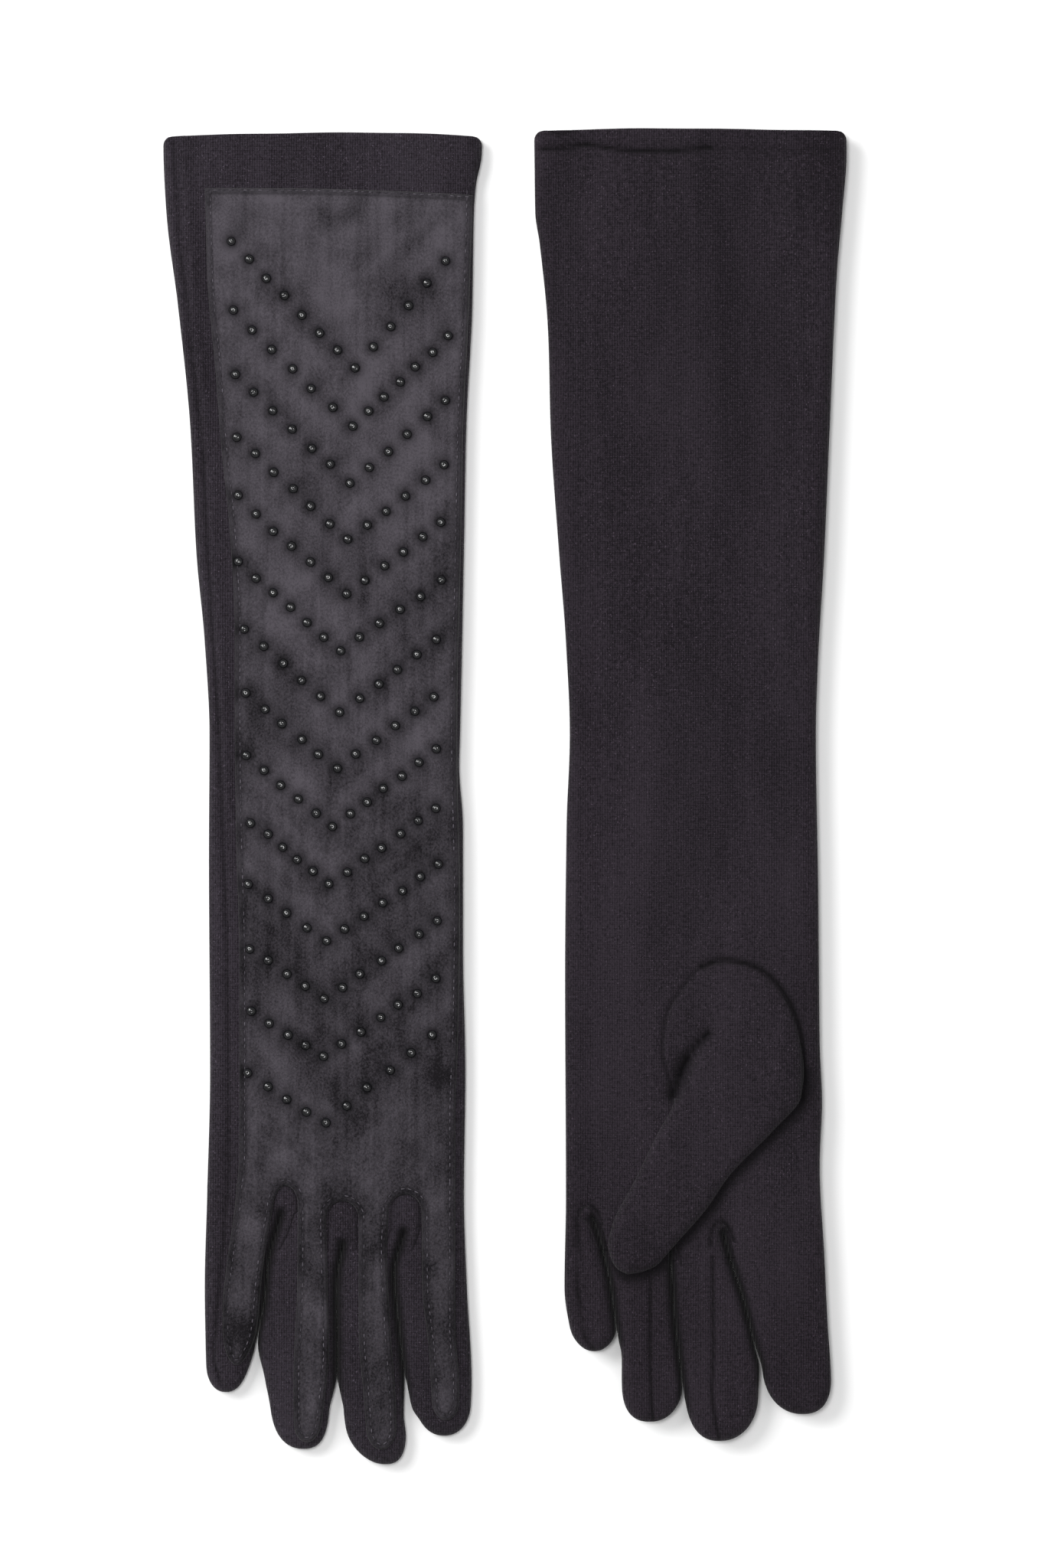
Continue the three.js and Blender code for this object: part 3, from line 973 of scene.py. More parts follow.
@dataclass
class Glove:
    """One glove: its form, its finishes and the names of its bodies and nodes."""

    plan: GlovePlan
    finishes: Wardrobe
    wall: float = 1.0
    hem_wall: float = 1.5
    hem_depth: float = 5.0
    suede_thickness: float = 1.15
    suede_step: float = 1.0
    form: GloveForm = field(init=False)

    def __post_init__(self) -> None:
        """Works out the glove's form."""
        self.form = GloveForm(self.plan)

    @property
    def back_up(self) -> bool:
        """Says if the studded back looks upwards."""
        return self.plan.facing is Facing.BACK_UP

    @property
    def jersey(self) -> bpy.types.Material:
        """Returns the glove's jersey."""
        return self.finishes.jersey_back if self.back_up else self.finishes.jersey_palm

    def name(self, part: str) -> str:
        """Returns a part's name with its hand."""
        return f"{self.plan.hand}_{part}"

    def settle(self, piece: bpy.types.Object, slot: str, *parts: str) -> None:
        """Fixes a piece to the hand of the glove.

        Args:
            piece: the piece.
            slot: its material slot.
            *parts: the parts that it stands for.
        """
        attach(piece, self.name("glove"))
        self.dress(piece, slot, *parts)

    def settle_finger(self, piece: bpy.types.Object, slot: str, index: int, *parts: str) -> None:
        """Bakes the place of a piece that runs from the hand into one finger, hides the parts that it stands
        for and reports it.

        Args:
            piece: the piece.
            slot: its material slot.
            index: 0 for the little finger to 3 for the index finger.
            *parts: the parts that it stands for.
        """
        left, right = self.plan.finger_sides(index, np.array([KNUCKLE_Y]))
        self.name("glove")
        self.name(f"{FINGERS[index]}_tip")
        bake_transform(piece)
        self.dress(piece, slot, *parts)

    def dress(self, piece: bpy.types.Object, slot: str, *parts: str) -> None:
        """Hides the parts that a piece stands for, and reports it.

        Args:
            piece: the piece.
            slot: not used.
            *parts: the parts that it stands for.
        """
        if parts:
            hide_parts(*[self.name(part) for part in parts])
        LOG.info("%s: %d faces", piece.name, len(piece.data.polygons))


@dataclass
class Stalls:
    """The four finger stalls, each a flat closed pillow of jersey."""

    glove: Glove
    step: float = 1.3

    def columns(self, index: int) -> np.ndarray:
        """Spaces columns across one finger.

        Args:
            index: 0 for the little finger to 3 for the index finger.

        Returns:
            Shares from 0 to 1 across it.
        """
        left, right = self.glove.plan.finger_sides(index, np.array([SPLIT_Y]))
        width = float(right[0] - left[0])
        return across(int(width / 1.2), self.glove.plan.rounding, width)

    def build(self) -> None:
        """Makes the stalls."""
        glove = self.glove
        form = glove.form
        for index, finger in enumerate(glove.plan.fingers):
            rows = capped_rows(SPLIT_Y, finger.tip, finger.cap, self.step)
            left, right = glove.plan.finger_sides(index, rows)
            x, y = spread(left, right, rows, self.columns(index))
            high = form.face(x, y, True)
            low = form.face(x, y, False)
            # Painted shade in the slits and along the creases.
            shade = form.painted_shade(x, y)
            name = glove.name(f"{finger.name}_stall")
            piece = slab(name, x, y, high, low, glove.jersey, shade)
            glove.settle_finger(piece, "jersey", index, f"{finger.name}_finger")
            declare(piece, plan_area(left, right, rows), x, rows)


def cloth_area(x: np.ndarray, y: np.ndarray, z: np.ndarray) -> float:
    """Measures the cloth over a grid of points.

    Args:
        x: grid of x, in millimetres.
        y: grid of y.
        z: grid of heights.

    Returns:
        Its area in square metres.
    """
    points = np.stack([x, y, z], axis=-1)
    over, down = np.diff(points, axis=1)[:-1], np.diff(points, axis=0)[:, :-1]
    return float(np.linalg.norm(np.cross(over, down), axis=-1).sum()) * MM * MM


def declare(piece: bpy.types.Object, area: float, x: np.ndarray, y: np.ndarray) -> None:
    """Reports the flat size of a piece of cloth: the box round it as it lies, seen from above.

    A side under LEAST_SIDE is raised to it, so a very narrow piece is
    reported wider than it is.

    Args:
        piece: the cloth.
        area: the flat area in square metres, as the caller worked it out.
        x: the piece's x values, in millimetres.
        y: the piece's y values.
    """
    width = max(float(x.max() - x.min()) * MM, LEAST_SIDE)
    length = max(float(y.max() - y.min()) * MM, LEAST_SIDE)
    area = min(area, width * length)
    LOG.info("%s: cut %.4f x %.4f m, area %.5f", piece.name, width, length, area)


@dataclass
class Panels:
    """The palm panel and the back panel of the sleeve and hand, open at the cuff."""

    glove: Glove
    step: float = 1.4
    corner: float = 3.2
    roll: float = 1.2

    def shares(self, stalls: Stalls) -> np.ndarray:
        """Spaces columns across the panel, so that they meet every stall's columns.

        Args:
            stalls: the finger stalls.

        Returns:
            Shares from 0 to 1 across the panel.
        """
        plan = self.glove.plan
        y = np.array([SPLIT_Y])
        left, right = float(plan.left.at(y)[0]), float(plan.right.at(y)[0])
        found = []
        for index in range(4):
            a, b = plan.finger_sides(index, y)
            found.append(float(a[0]) + stalls.columns(index) * float(b[0] - a[0]))
        x = np.unique(np.round(np.concatenate(found), 4))
        return np.clip((x - left) / (right - left), 0.0, 1.0)

    def grid(self, stalls: Stalls) -> tuple[np.ndarray, np.ndarray]:
        """Spreads points over the panel, from the cuff to the fingers.

        Args:
            stalls: the finger stalls.

        Returns:
            The grids of x and y.
        """
        plan = self.glove.plan
        near = plan.cuff_y - np.array([0.0, 0.3, 0.8, 1.5, 2.3, 3.2, 4.2, 5.2, 6.4])
        far = np.linspace(plan.cuff_y - 7.6, SPLIT_Y, int((plan.cuff_y - 7.6 - SPLIT_Y) / self.step))
        rows = np.concatenate([near, far])
        share = self.shares(stalls)
        left, right = plan.left.at(rows), plan.right.at(rows)
        turn = np.clip((rows - plan.cuff_y + self.corner) / self.corner, 0.0, 1.0)
        inset = self.corner * (1 - np.sqrt(1 - turn ** 2))
        left, right = left + inset, right - inset
        x, level = spread(left, right, rows, share)
        fade = smoothstep((rows - (plan.cuff_y - 30)) / 30)[:, None]
        bow = plan.cuff_bow * (1 - (2 * share[None, :] - 1) ** 2)
        wander = 0.18 * np.sin(x / 17.0 + plan.seed) + 0.07 * np.sin(x / 5.3)
        return x, level + fade * (bow - plan.cuff_bow + wander)

    def build(self, stalls: Stalls) -> None:
        """Makes both panels.

        Args:
            stalls: the finger stalls that they meet.
        """
        glove = self.glove
        form = glove.form
        x, y = self.grid(stalls)
        plan = glove.plan
        roll = rounded((plan.cuff_y - y) / self.roll)
        wall = glove.wall + (glove.hem_wall - glove.wall) * (plan.cuff_y - y < glove.hem_depth)
        for upper in (True, False):
            outer = form.face(x, y, upper)
            way = 1.0 if upper else -1.0
            stand = np.abs(outer - plan.mid_z)
            stand = np.minimum(stand, stand - 0.45 * (1 - roll))
            outer = plan.mid_z + way * np.maximum(stand, 0.1)
            inner = plan.mid_z + way * np.maximum(stand - wall, 0.03)
            high, low = (outer, inner) if upper else (inner, outer)
            part = "back_panel" if upper == glove.back_up else "palm_panel"
            # Painted shade, on the upward face only.
            shade = form.painted_shade(x, y) if upper else None
            piece = slab(glove.name(f"{part}_cloth"), x, y, high, low, glove.jersey, shade)
            glove.settle(piece, "jersey", part)
            declare(piece, cloth_area(x, y, 0 * x), x, y)


@dataclass
class Fourchettes:
    """The leaf-shaped gussets between the fingers, with rounded tops."""

    glove: Glove
    thickness: float = 0.35

    def build(self) -> None:
        """Makes the three leaves and sets them into the hand."""
        glove = self.glove
        plan = glove.plan
        for index, slit in enumerate(plan.slits):
            top = slit.arch_top
            end = min(BLEND_START_Y + 0.5, top - 11.0)
            rows = top + (end - top) * (1 - np.cos(np.linspace(0, math.pi, 46))) / 2
            leaf = rounded((top - rows) / slit.arch)
            leaf = leaf * (1 - 0.55 * smoothstep((slit.start - 2 - rows) / 18.0))
            wide = plan.fingers[index + 1].strip_left.at(rows) - plan.fingers[index].strip_right.at(rows)
            wide = (np.clip(wide, 4.0, 10.5) if slit.leaf == 0.0 else slit.leaf + 0 * rows) / 2 - 0.1
            centre = np.where(rows > slit.start, slit.arch_x, slit.centre.at(rows))
            centre = slit.arch_x + (centre - slit.arch_x) * smoothstep((slit.start + 4 - rows) / 8.0)
            half = np.maximum(wide * leaf, 0.12)
            share = np.linspace(-1, 1, 19)
            x = centre[:, None] + half[:, None] * share[None, :]
            y = np.repeat(rows[:, None], x.shape[1], axis=1)
            base = glove.form.face(x, y, True)
            rim = 1 - np.abs(share[None, :]) ** 6
            thick = self.thickness * (1.0 if slit.leaf == 0.0 else 2.2)
            high = base + thick * rim * np.minimum(1.0, (top - y) / 0.6 + 0.1)
            low = base - 0.5
            # Painted shade along the leaf's sides and under its arched top, and in the slits.
            shade = 0.75 * np.abs(share[None, :]) ** 6 + np.clip(0.75 - (top - y) / 1.2, 0.0, 0.75)
            shade = np.maximum(shade, glove.form.painted_shade(x, y))
            name = glove.name(f"{CROTCHES[index]}_leaf")
            piece = slab(name, x, y, high, low, glove.jersey, shade)
            glove.settle(piece, "jersey", f"{CROTCHES[index]}_fourchette")
            declare(piece, cloth_area(x, y, base), x, rows)


@dataclass(frozen=True)
class StudRow:
    """One chevron of studs: its lowest stud and an arm towards each side."""

    apex: tuple[float, float]
    little: tuple[int, float, float]
    index: tuple[int, float, float]

    def points(self, rng: np.random.Generator) -> list[tuple[float, float]]:
        """Places the row's studs, a little uneven.

        Args:
            rng: the source of the unevenness.

        Returns:
            The (x, y) of each stud, the lowest first.
        """
        found = [self.apex]
        for count, dx, dy in (self.little, self.index):
            for i in range(1, count + 1):
                t = i / count
                sag = 0.35 * math.sin(math.pi * t)
                x = self.apex[0] + dx * t + rng.normal(0, 0.22)
                y = self.apex[1] + dy * t - sag + rng.normal(0, 0.22)
                found.append((x, y))
        return found


STUD_ROWS = (
    StudRow((-50.7, 145.1), (7, -42.0, 43.1), (5, 30.9, 36.2)),
    StudRow((-51.5, 125.4), (6, -40.7, 39.5), (6, 32.1, 30.6)),
    StudRow((-52.5, 106.1), (6, -39.1, 37.0), (5, 32.6, 28.2)),
    StudRow((-53.2, 87.1), (6, -37.5, 34.6), (5, 32.6, 25.1)),
    StudRow((-53.6, 68.6), (6, -36.7, 32.9), (5, 32.1, 24.3)),
    StudRow((-55.6, 49.3), (6, -34.4, 30.2), (5, 33.8, 23.7)),
    StudRow((-56.0, 28.5), (5, -32.1, 28.4), (5, 32.9, 24.7)),
    StudRow((-56.7, 9.5), (5, -31.0, 25.7), (5, 32.9, 24.5)),
    StudRow((-58.4, -10.2), (5, -29.1, 24.1), (6, 35.0, 26.1)),
    StudRow((-59.6, -29.6), (5, -26.3, 20.9), (6, 36.4, 25.9)),
    StudRow((-60.4, -48.9), (4, -26.3, 19.3), (6, 37.9, 26.3)),
    StudRow((-61.2, -68.5), (4, -25.2, 17.3), (6, 38.3, 26.4)),
    StudRow((-61.4, -88.0), (4, -24.3, 15.0), (6, 38.0, 26.4)),
    StudRow((-60.6, -110.5), (4, -26.5, 16.5), (5, 35.9, 29.8)),
)


@dataclass
class SuedeWork:
    """The suede panel and strips on the back, with their studs and topstitching."""

    glove: Glove
    seed: int = 7
    stitch_inset: float = 1.8
    stitch_pitch: float = 2.5
    cuff_inset: float = 0.7
    arch: float = 6.0
    groove_depth: float = 0.28
    groove_width: float = 0.55
    puff: float = 0.22
    press: float = 0.55
    stud_sunk: float = 0.12
    stud_tilt: float = 0.08
    studs_at: np.ndarray = field(init=False)
    rim: list[np.ndarray] = field(init=False)

    def __post_init__(self) -> None:
        """Places the studs and works out the suede's outline."""
        rng = np.random.default_rng(self.seed)
        points = [p for row in STUD_ROWS for p in row.points(rng)]
        shift = 0.0 if self.glove.back_up else self.glove.plan.middle - STUD_AXIS_X
        self.studs_at = np.array(points) + np.array([shift, 0.0])
        self.rim = self.outline()

    def arched(self, slit: Slit, x: np.ndarray, y: np.ndarray) -> np.ndarray:
        """Returns a strip's edge bent round the top of a fourchette."""
        return slit.arch_x + (x - slit.arch_x) * rounded((slit.arch_top - y) / self.arch)

    def strip_sides(self, index: int, y: np.ndarray) -> tuple[np.ndarray, np.ndarray]:
        """Finds the edges of one strip, arched beside the fourchettes and rounded at its end.

        Args:
            index: 0 for the little finger to 3 for the index finger.
            y: heights, in millimetres.

        Returns:
            The x of the left and the right edge at each height.
        """
        plan = self.glove.plan
        finger = plan.fingers[index]
        left, right = finger.strip_left.at(y), finger.strip_right.at(y)
        if index > 0:
            left = self.arched(plan.slits[index - 1], left, y)
        if index < 3:
            right = self.arched(plan.slits[index], right, y)
        share = np.clip((finger.strip_end + finger.strip_cap - y) / finger.strip_cap, 0.0, 1.0)
        narrow = np.maximum((1 - share ** 2) ** 0.5, 0.06)
        centre, half = (left + right) / 2, (right - left) / 2 * narrow
        return centre - half, centre + half

    def strip_rows(self, index: int, step: float) -> np.ndarray:
        """Spaces rows down one strip, closer together round the fourchettes' tops.

        Args:
            index: 0 for the little finger to 3 for the index finger.
            step: usual distance between rows.

        Returns:
            The rows' y, from top to end.
        """
        plan = self.glove.plan
        finger = plan.fingers[index]
        extra = []
        for slit in plan.slits[max(0, index - 1):index + 1]:
            extra += [slit.arch_top - d for d in (0.0, 0.08, 0.3, 0.7, 1.2, 1.9)]
        return capped_rows(SPLIT_Y, finger.strip_end, finger.strip_cap, step, tuple(extra))

    def outline(self) -> list[np.ndarray]:
        """Draws the suede's outer edge.

        Returns:
            Polylines of (x, y) points.
        """
        plan = self.glove.plan
        lines = []
        for index in range(4):
            y = self.strip_rows(index, 1.5)
            left, right = self.strip_sides(index, y)
            first = 0 if index == 0 else int(np.searchsorted(-y, -plan.slits[index - 1].arch_top))
            last = 0 if index == 3 else int(np.searchsorted(-y, -plan.slits[index].arch_top))
            lines.append(walk(left, right, y, first, last))
        y = np.arange(plan.suede_top, SPLIT_Y - 1.5, -1.5)
        y[-1] = SPLIT_Y
        left, right = plan.suede_left.at(y), plan.suede_right.at(y)
        lines += [np.stack([side, y], axis=1) for side in (left, right)]
        top = np.linspace(left[0], right[0], 30)
        lines.append(np.stack([top, self.top_edge(top)], axis=1))
        return lines

    def top_edge(self, x: np.ndarray) -> np.ndarray:
        """Draws the suede's top edge, a little bowed and sloped.

        Args:
            x: the points' x, in millimetres.

        Returns:
            The edge's y at each.
        """
        plan = self.glove.plan
        left = float(plan.suede_left.at(np.array([plan.suede_top]))[0])
        right = float(plan.suede_right.at(np.array([plan.suede_top]))[0])
        t = (x - left) / (right - left)
        return plan.suede_top - 2.3 * t + 0.8 * np.sin(math.pi * t)

    def skin(self, x: np.ndarray, y: np.ndarray) -> tuple[np.ndarray, np.ndarray, np.ndarray]:
        """Finds the suede's two surfaces and the shade painted on it.

        Args:
            x: the points' x, in millimetres.
            y: the points' y.

        Returns:
            The outer heights, the inner heights and the painted shade from 0 to 1.
        """
        glove = self.glove
        way = 1.0 if glove.back_up else -1.0
        base = glove.form.face(x, y, glove.back_up)
        away = near_lines(self.rim, x, y, SUEDE_REACH)
        edge = rounded(away / 0.9)
        thick = glove.suede_thickness * (0.12 + 0.88 * edge)
        groove = np.exp(-(((away - self.stitch_inset) / self.groove_width) ** 2))
        puff = self.puff * smoothstep((away - 2.4) / 4.0)
        studs = self.near_studs(x, y)
        press = np.exp(-((studs / 2.6) ** 2))
        thick = thick - self.groove_depth * groove + puff - self.press * press
        outer = base + way * np.maximum(thick, 0.08)
        inner = base - way * 0.4
        # Painted shade round the studs, in the stitch groove and along the suede's edge.
        stud_shade = np.maximum(0.95 * np.exp(-((studs / 2.3) ** 4)), 0.72 * np.exp(-((studs / 3.3) ** 2)))
        shade = np.clip(np.maximum(stud_shade, 0.4 * groove) + 0.5 * np.exp(-((away / 1.3) ** 2)), 0, 0.95)
        return outer, inner, shade

    def near_studs(self, x: np.ndarray, y: np.ndarray) -> np.ndarray:
        """Finds how far each point is from the nearest stud.

        Args:
            x: the points' x, in millimetres.
            y: the points' y.

        Returns:
            The distances, never more than 9 mm.
        """
        flat_x, flat_y = np.ravel(x), np.ravel(y)
        found = np.full(len(flat_x), SUEDE_REACH)
        for sx, sy in self.studs_at:
            near = np.abs(flat_y - sy) < SUEDE_REACH
            gap = np.hypot(flat_x[near] - sx, flat_y[near] - sy)
            found[near] = np.minimum(found[near], gap)
        return found.reshape(np.shape(x))

    def shares(self, step: float) -> list[np.ndarray]:
        """Spaces columns across each strip where it joins the panel.

        Args:
            step: usual distance between columns.

        Returns:
            Shares from 0 to 1 across each strip.
        """
        found = []
        for index in range(4):
            left, right = self.strip_sides(index, np.array([SPLIT_Y]))
            width = float(right[0] - left[0])
            edge = np.array([0.0, 0.1, 0.3, 0.6, 1.0, 1.5, 2.1]) / width
            middle = np.linspace(edge[-1], 1 - edge[-1], max(3, int((width - 4) / step)))
            found.append(np.unique(np.round(np.concatenate([edge, middle, 1 - edge]), 7)))
        return found

    def add(self, name: str, x: np.ndarray, y: np.ndarray) -> bpy.types.Object:
        """Makes one piece of suede over a grid.

        Args:
            name: the piece's name without its hand.
            x: grid of x, in millimetres.
            y: grid of y.

        Returns:
            The piece, linked to the scene.
        """
        outer, inner, shade = self.skin(x, y)
        high, low = (outer, inner) if self.glove.back_up else (inner, outer)
        return slab(self.glove.name(f"{name}_nap"), x, y, high, low, self.glove.finishes.suede, shade)

    def build(self) -> None:
        """Makes the panel, the strips, the studs and the stitches."""
        glove = self.glove
        plan = glove.plan
        step = glove.suede_step
        shares = self.shares(step)
        y0 = np.array([SPLIT_Y])
        found = []
        for index in range(4):
            left, right = self.strip_sides(index, y0)
            found.append(float(left[0]) + shares[index] * float(right[0] - left[0]))
        x0 = np.unique(np.round(np.concatenate(found), 4))
        share = (x0 - x0[0]) / (x0[-1] - x0[0])
        close = plan.suede_top - np.array([0.0, 0.12, 0.35, 0.7, 1.2, 1.8, 2.5])
        count = int((close[-1] - SPLIT_Y) / step)
        rows = np.concatenate([close, np.linspace(close[-1] - step, SPLIT_Y, count)])
        left, right = plan.suede_left.at(rows), plan.suede_right.at(rows)
        x, level = spread(left, right, rows, share)
        fade = smoothstep((rows - (plan.suede_top - 25)) / 25)[:, None]
        y = level + fade * (self.top_edge(x) - plan.suede_top)
        panel = self.add("suede_panel", x, y)
        glove.settle(panel, "suede", "suede_panel")
        declare(panel, plan_area(left, right, rows), x, y)
        for index in range(4):
            rows = self.strip_rows(index, step)
            left, right = self.strip_sides(index, rows)
            x, y = spread(left, right, rows, shares[index])
            finger = FINGERS[index]
            piece = self.add(f"{finger}_suede_strip", x, y)
            glove.settle_finger(piece, "suede", index, f"{finger}_suede_strip")
            declare(piece, plan_area(left, right, rows), x, rows)
        self.stud()
        self.topstitch()

    def stud(self) -> None:
        """Sets the studs into the suede."""
        glove = self.glove
        way = 1.0 if glove.back_up else -1.0
        x, y = self.studs_at[:, 0], self.studs_at[:, 1]
        outer, _, _ = self.skin(x, y)
        rng = np.random.default_rng(self.seed + 1)
        tilts = [rng.normal(0, self.stud_tilt, len(x)) for _ in range(2)]
        turns = np.stack([*tilts, rng.uniform(0, 6.28, len(x))], axis=1)
        if not glove.back_up:
            turns[:, 0] += math.pi
        at = np.stack([x, y, outer - way * self.stud_sunk], axis=1)
        shape = stud_shape()
        piece = scattered(glove.name("studs"), at, turns, shape, glove.finishes.stud, 11)
        rows = [f"stud_row_{i:02d}" for i in range(1, 15)]
        glove.settle(piece, "stud", *rows)

    def topstitch(self) -> None:
        """Sews dashes of thread all round the suede, a little inside its edge."""
        glove = self.glove
        way = 1.0 if glove.back_up else -1.0
        rng = np.random.default_rng(self.seed + 2)
        hand: list[tuple[float, float, float]] = []
        fingers: list[list[tuple[float, float, float]]] = [[], [], [], []]
        for index in range(4):
            line = self.inset(self.rim[index])
            for x, y, turn in dashes(line, self.stitch_pitch, rng):
                fingers[index].append((x, y, turn))
        for line in self.rim[4:]:
            hand += dashes(self.inset(line), self.stitch_pitch, rng)
        shape = thread_shape()
        for index, run in enumerate([*fingers, hand]):
            points = np.array(run)
            away = near_lines(self.rim, points[:, 0], points[:, 1], SUEDE_REACH)
            points = points[away > 0.6]
            outer, _, _ = self.skin(points[:, 0], points[:, 1])
            at = np.stack([points[:, 0], points[:, 1], outer + way * 0.1], axis=1)
            turns = np.zeros((len(points), 3))
            turns[:, 2] = points[:, 2]
            part = "hand_stitches" if index == 4 else f"{FINGERS[index]}_stitches"
            piece = scattered(glove.name(part), at, turns, shape, glove.finishes.thread, 5)
            if index == 4:
                glove.settle(piece, "suede")
            else:
                glove.settle_finger(piece, "suede", index)

    def inset(self, line: np.ndarray) -> np.ndarray:
        """Moves an edge line inwards to where the stitches run.

        Args:
            line: (x, y) points of the edge.

        Returns:
            The moved points.
        """
        plan = self.glove.plan
        along = np.gradient(line, axis=0)
        along /= np.maximum(np.linalg.norm(along, axis=1), 1e-9)[:, None]
        side = np.stack([-along[:, 1], along[:, 0]], axis=1)
        centre = line.mean(axis=0)
        if line[:, 1].min() < SPLIT_Y - 5:
            inwards = float(np.median(np.where((side * (centre - line)).sum(1) > 0, 1.0, -1.0)))
        else:
            inside = np.array([plan.middle, 20.0])
            inwards = float((inside - centre) @ side[len(side) // 2])
        way = 1.0 if inwards > 0 else -1.0
        deep = self.cuff_inset if line[:, 1].min() > SPLIT_Y + 50 else self.stitch_inset
        return line + side * way * deep


def dashes(line: np.ndarray, pitch: float, rng: np.random.Generator) -> list[tuple[float, float, float]]:
    """Spaces stitches along a line.

    Args:
        line: (x, y) points in millimetres.
        pitch: distance from stitch to stitch.
        rng: the source of the small unevenness.

    Returns:
        (x, y, turn) of each stitch.
    """
    gaps = np.linalg.norm(np.diff(line, axis=0), axis=1)
    run = np.concatenate([[0], np.cumsum(gaps)])
    places = np.arange(pitch / 2, run[-1], pitch)
    places = places + rng.normal(0, 0.12, len(places))
    x, y = np.interp(places, run, line[:, 0]), np.interp(places, run, line[:, 1])
    ahead, behind = (
        [np.interp(places + off, run, line[:, axis]) for axis in (0, 1)] for off in (0.8, -0.8)
    )
    turn = np.arctan2(ahead[1] - behind[1], ahead[0] - behind[0]) + rng.normal(0, 0.05, len(places))
    return list(zip(x.tolist(), y.tolist(), turn.tolist()))


def lathe(name: str, profile: tuple[tuple[float, float], ...], sides: int) -> bpy.types.Object:
    """Turns a profile of (radius, height) round the upright axis; the first and last radius are zero.

    Args:
        name: the object's name.
        profile: the profile in millimetres, from its top to its bottom.
        sides: how many sides it has.

    Returns:
        The turned object, not linked to the scene.
    """
    vertices = [(0.0, 0.0, profile[0][1] * MM)]
    for radius, height in profile[1:-1]:
        for k in range(sides):
            turn = 2 * math.pi * k / sides
            vertices.append((radius * math.cos(turn) * MM, radius * math.sin(turn) * MM, height * MM))
    vertices.append((0.0, 0.0, profile[-1][1] * MM))
    faces = [(0, 1 + k, 1 + (k + 1) % sides) for k in range(sides)]
    rings = len(profile) - 2
    for ring in range(rings - 1):
        a, b = 1 + ring * sides, 1 + (ring + 1) * sides
        faces += [(a + k, b + k, b + (k + 1) % sides, a + (k + 1) % sides) for k in range(sides)]
    last, end = 1 + (rings - 1) * sides, len(vertices) - 1
    faces += [(last + (k + 1) % sides, last + k, end) for k in range(sides)]
    mesh = bpy.data.meshes.new(name)
    mesh.from_pydata(vertices, [], faces)
    mesh.shade_smooth()
    mesh.set_sharp_from_angle(angle=math.radians(50))
    return bpy.data.objects.new(name, mesh)


def stud_shape() -> bpy.types.Object:
    """Makes one stud: a flat bright top with a dimple, on a rounded collar.

    Returns:
        The stud, not linked to the scene.
    """
    profile = (
        (0.0, 1.2), (0.1, 1.21), (0.16, 1.28), (0.7, 1.3), (0.8, 1.2), (0.95, 1.08),
        (1.25, 0.92), (1.5, 0.62), (1.6, 0.2), (0.0, -0.3),
    )
    return lathe("stud_shape", profile, 16)


def thread_shape() -> bpy.types.Object:
    """Makes one stitch: a short thread, arched and sunk at its ends.

    Returns:
        The stitch, not linked to the scene.
    """
    half, radius, sides = 0.72, 0.19, 6
    vertices, faces = [], []
    stations = (
        (-1.0, 0.35, -0.14), (-0.7, 0.9, 0.02), (0.0, 1.0, 0.08), (0.7, 0.9, 0.02), (1.0, 0.35, -0.14),
    )
    for along, size, lift in stations:
        for k in range(sides):
            turn = 2 * math.pi * k / sides
            point = (along * half, math.cos(turn) * radius * size, math.sin(turn) * radius * size + lift)
            vertices.append(tuple(c * MM for c in point))
    for ring in range(len(stations) - 1):
        a, b = ring * sides, (ring + 1) * sides
        faces += [(a + k, a + (k + 1) % sides, b + (k + 1) % sides, b + k) for k in range(sides)]
    faces.append(tuple(range(sides))[::-1])
    last = (len(stations) - 1) * sides
    faces.append(tuple(range(last, last + sides)))
    mesh = bpy.data.meshes.new("thread_shape")
    mesh.from_pydata(vertices, [], [tuple(reversed(f)) for f in faces])
    mesh.shade_smooth()
    return bpy.data.objects.new("thread_shape", mesh)


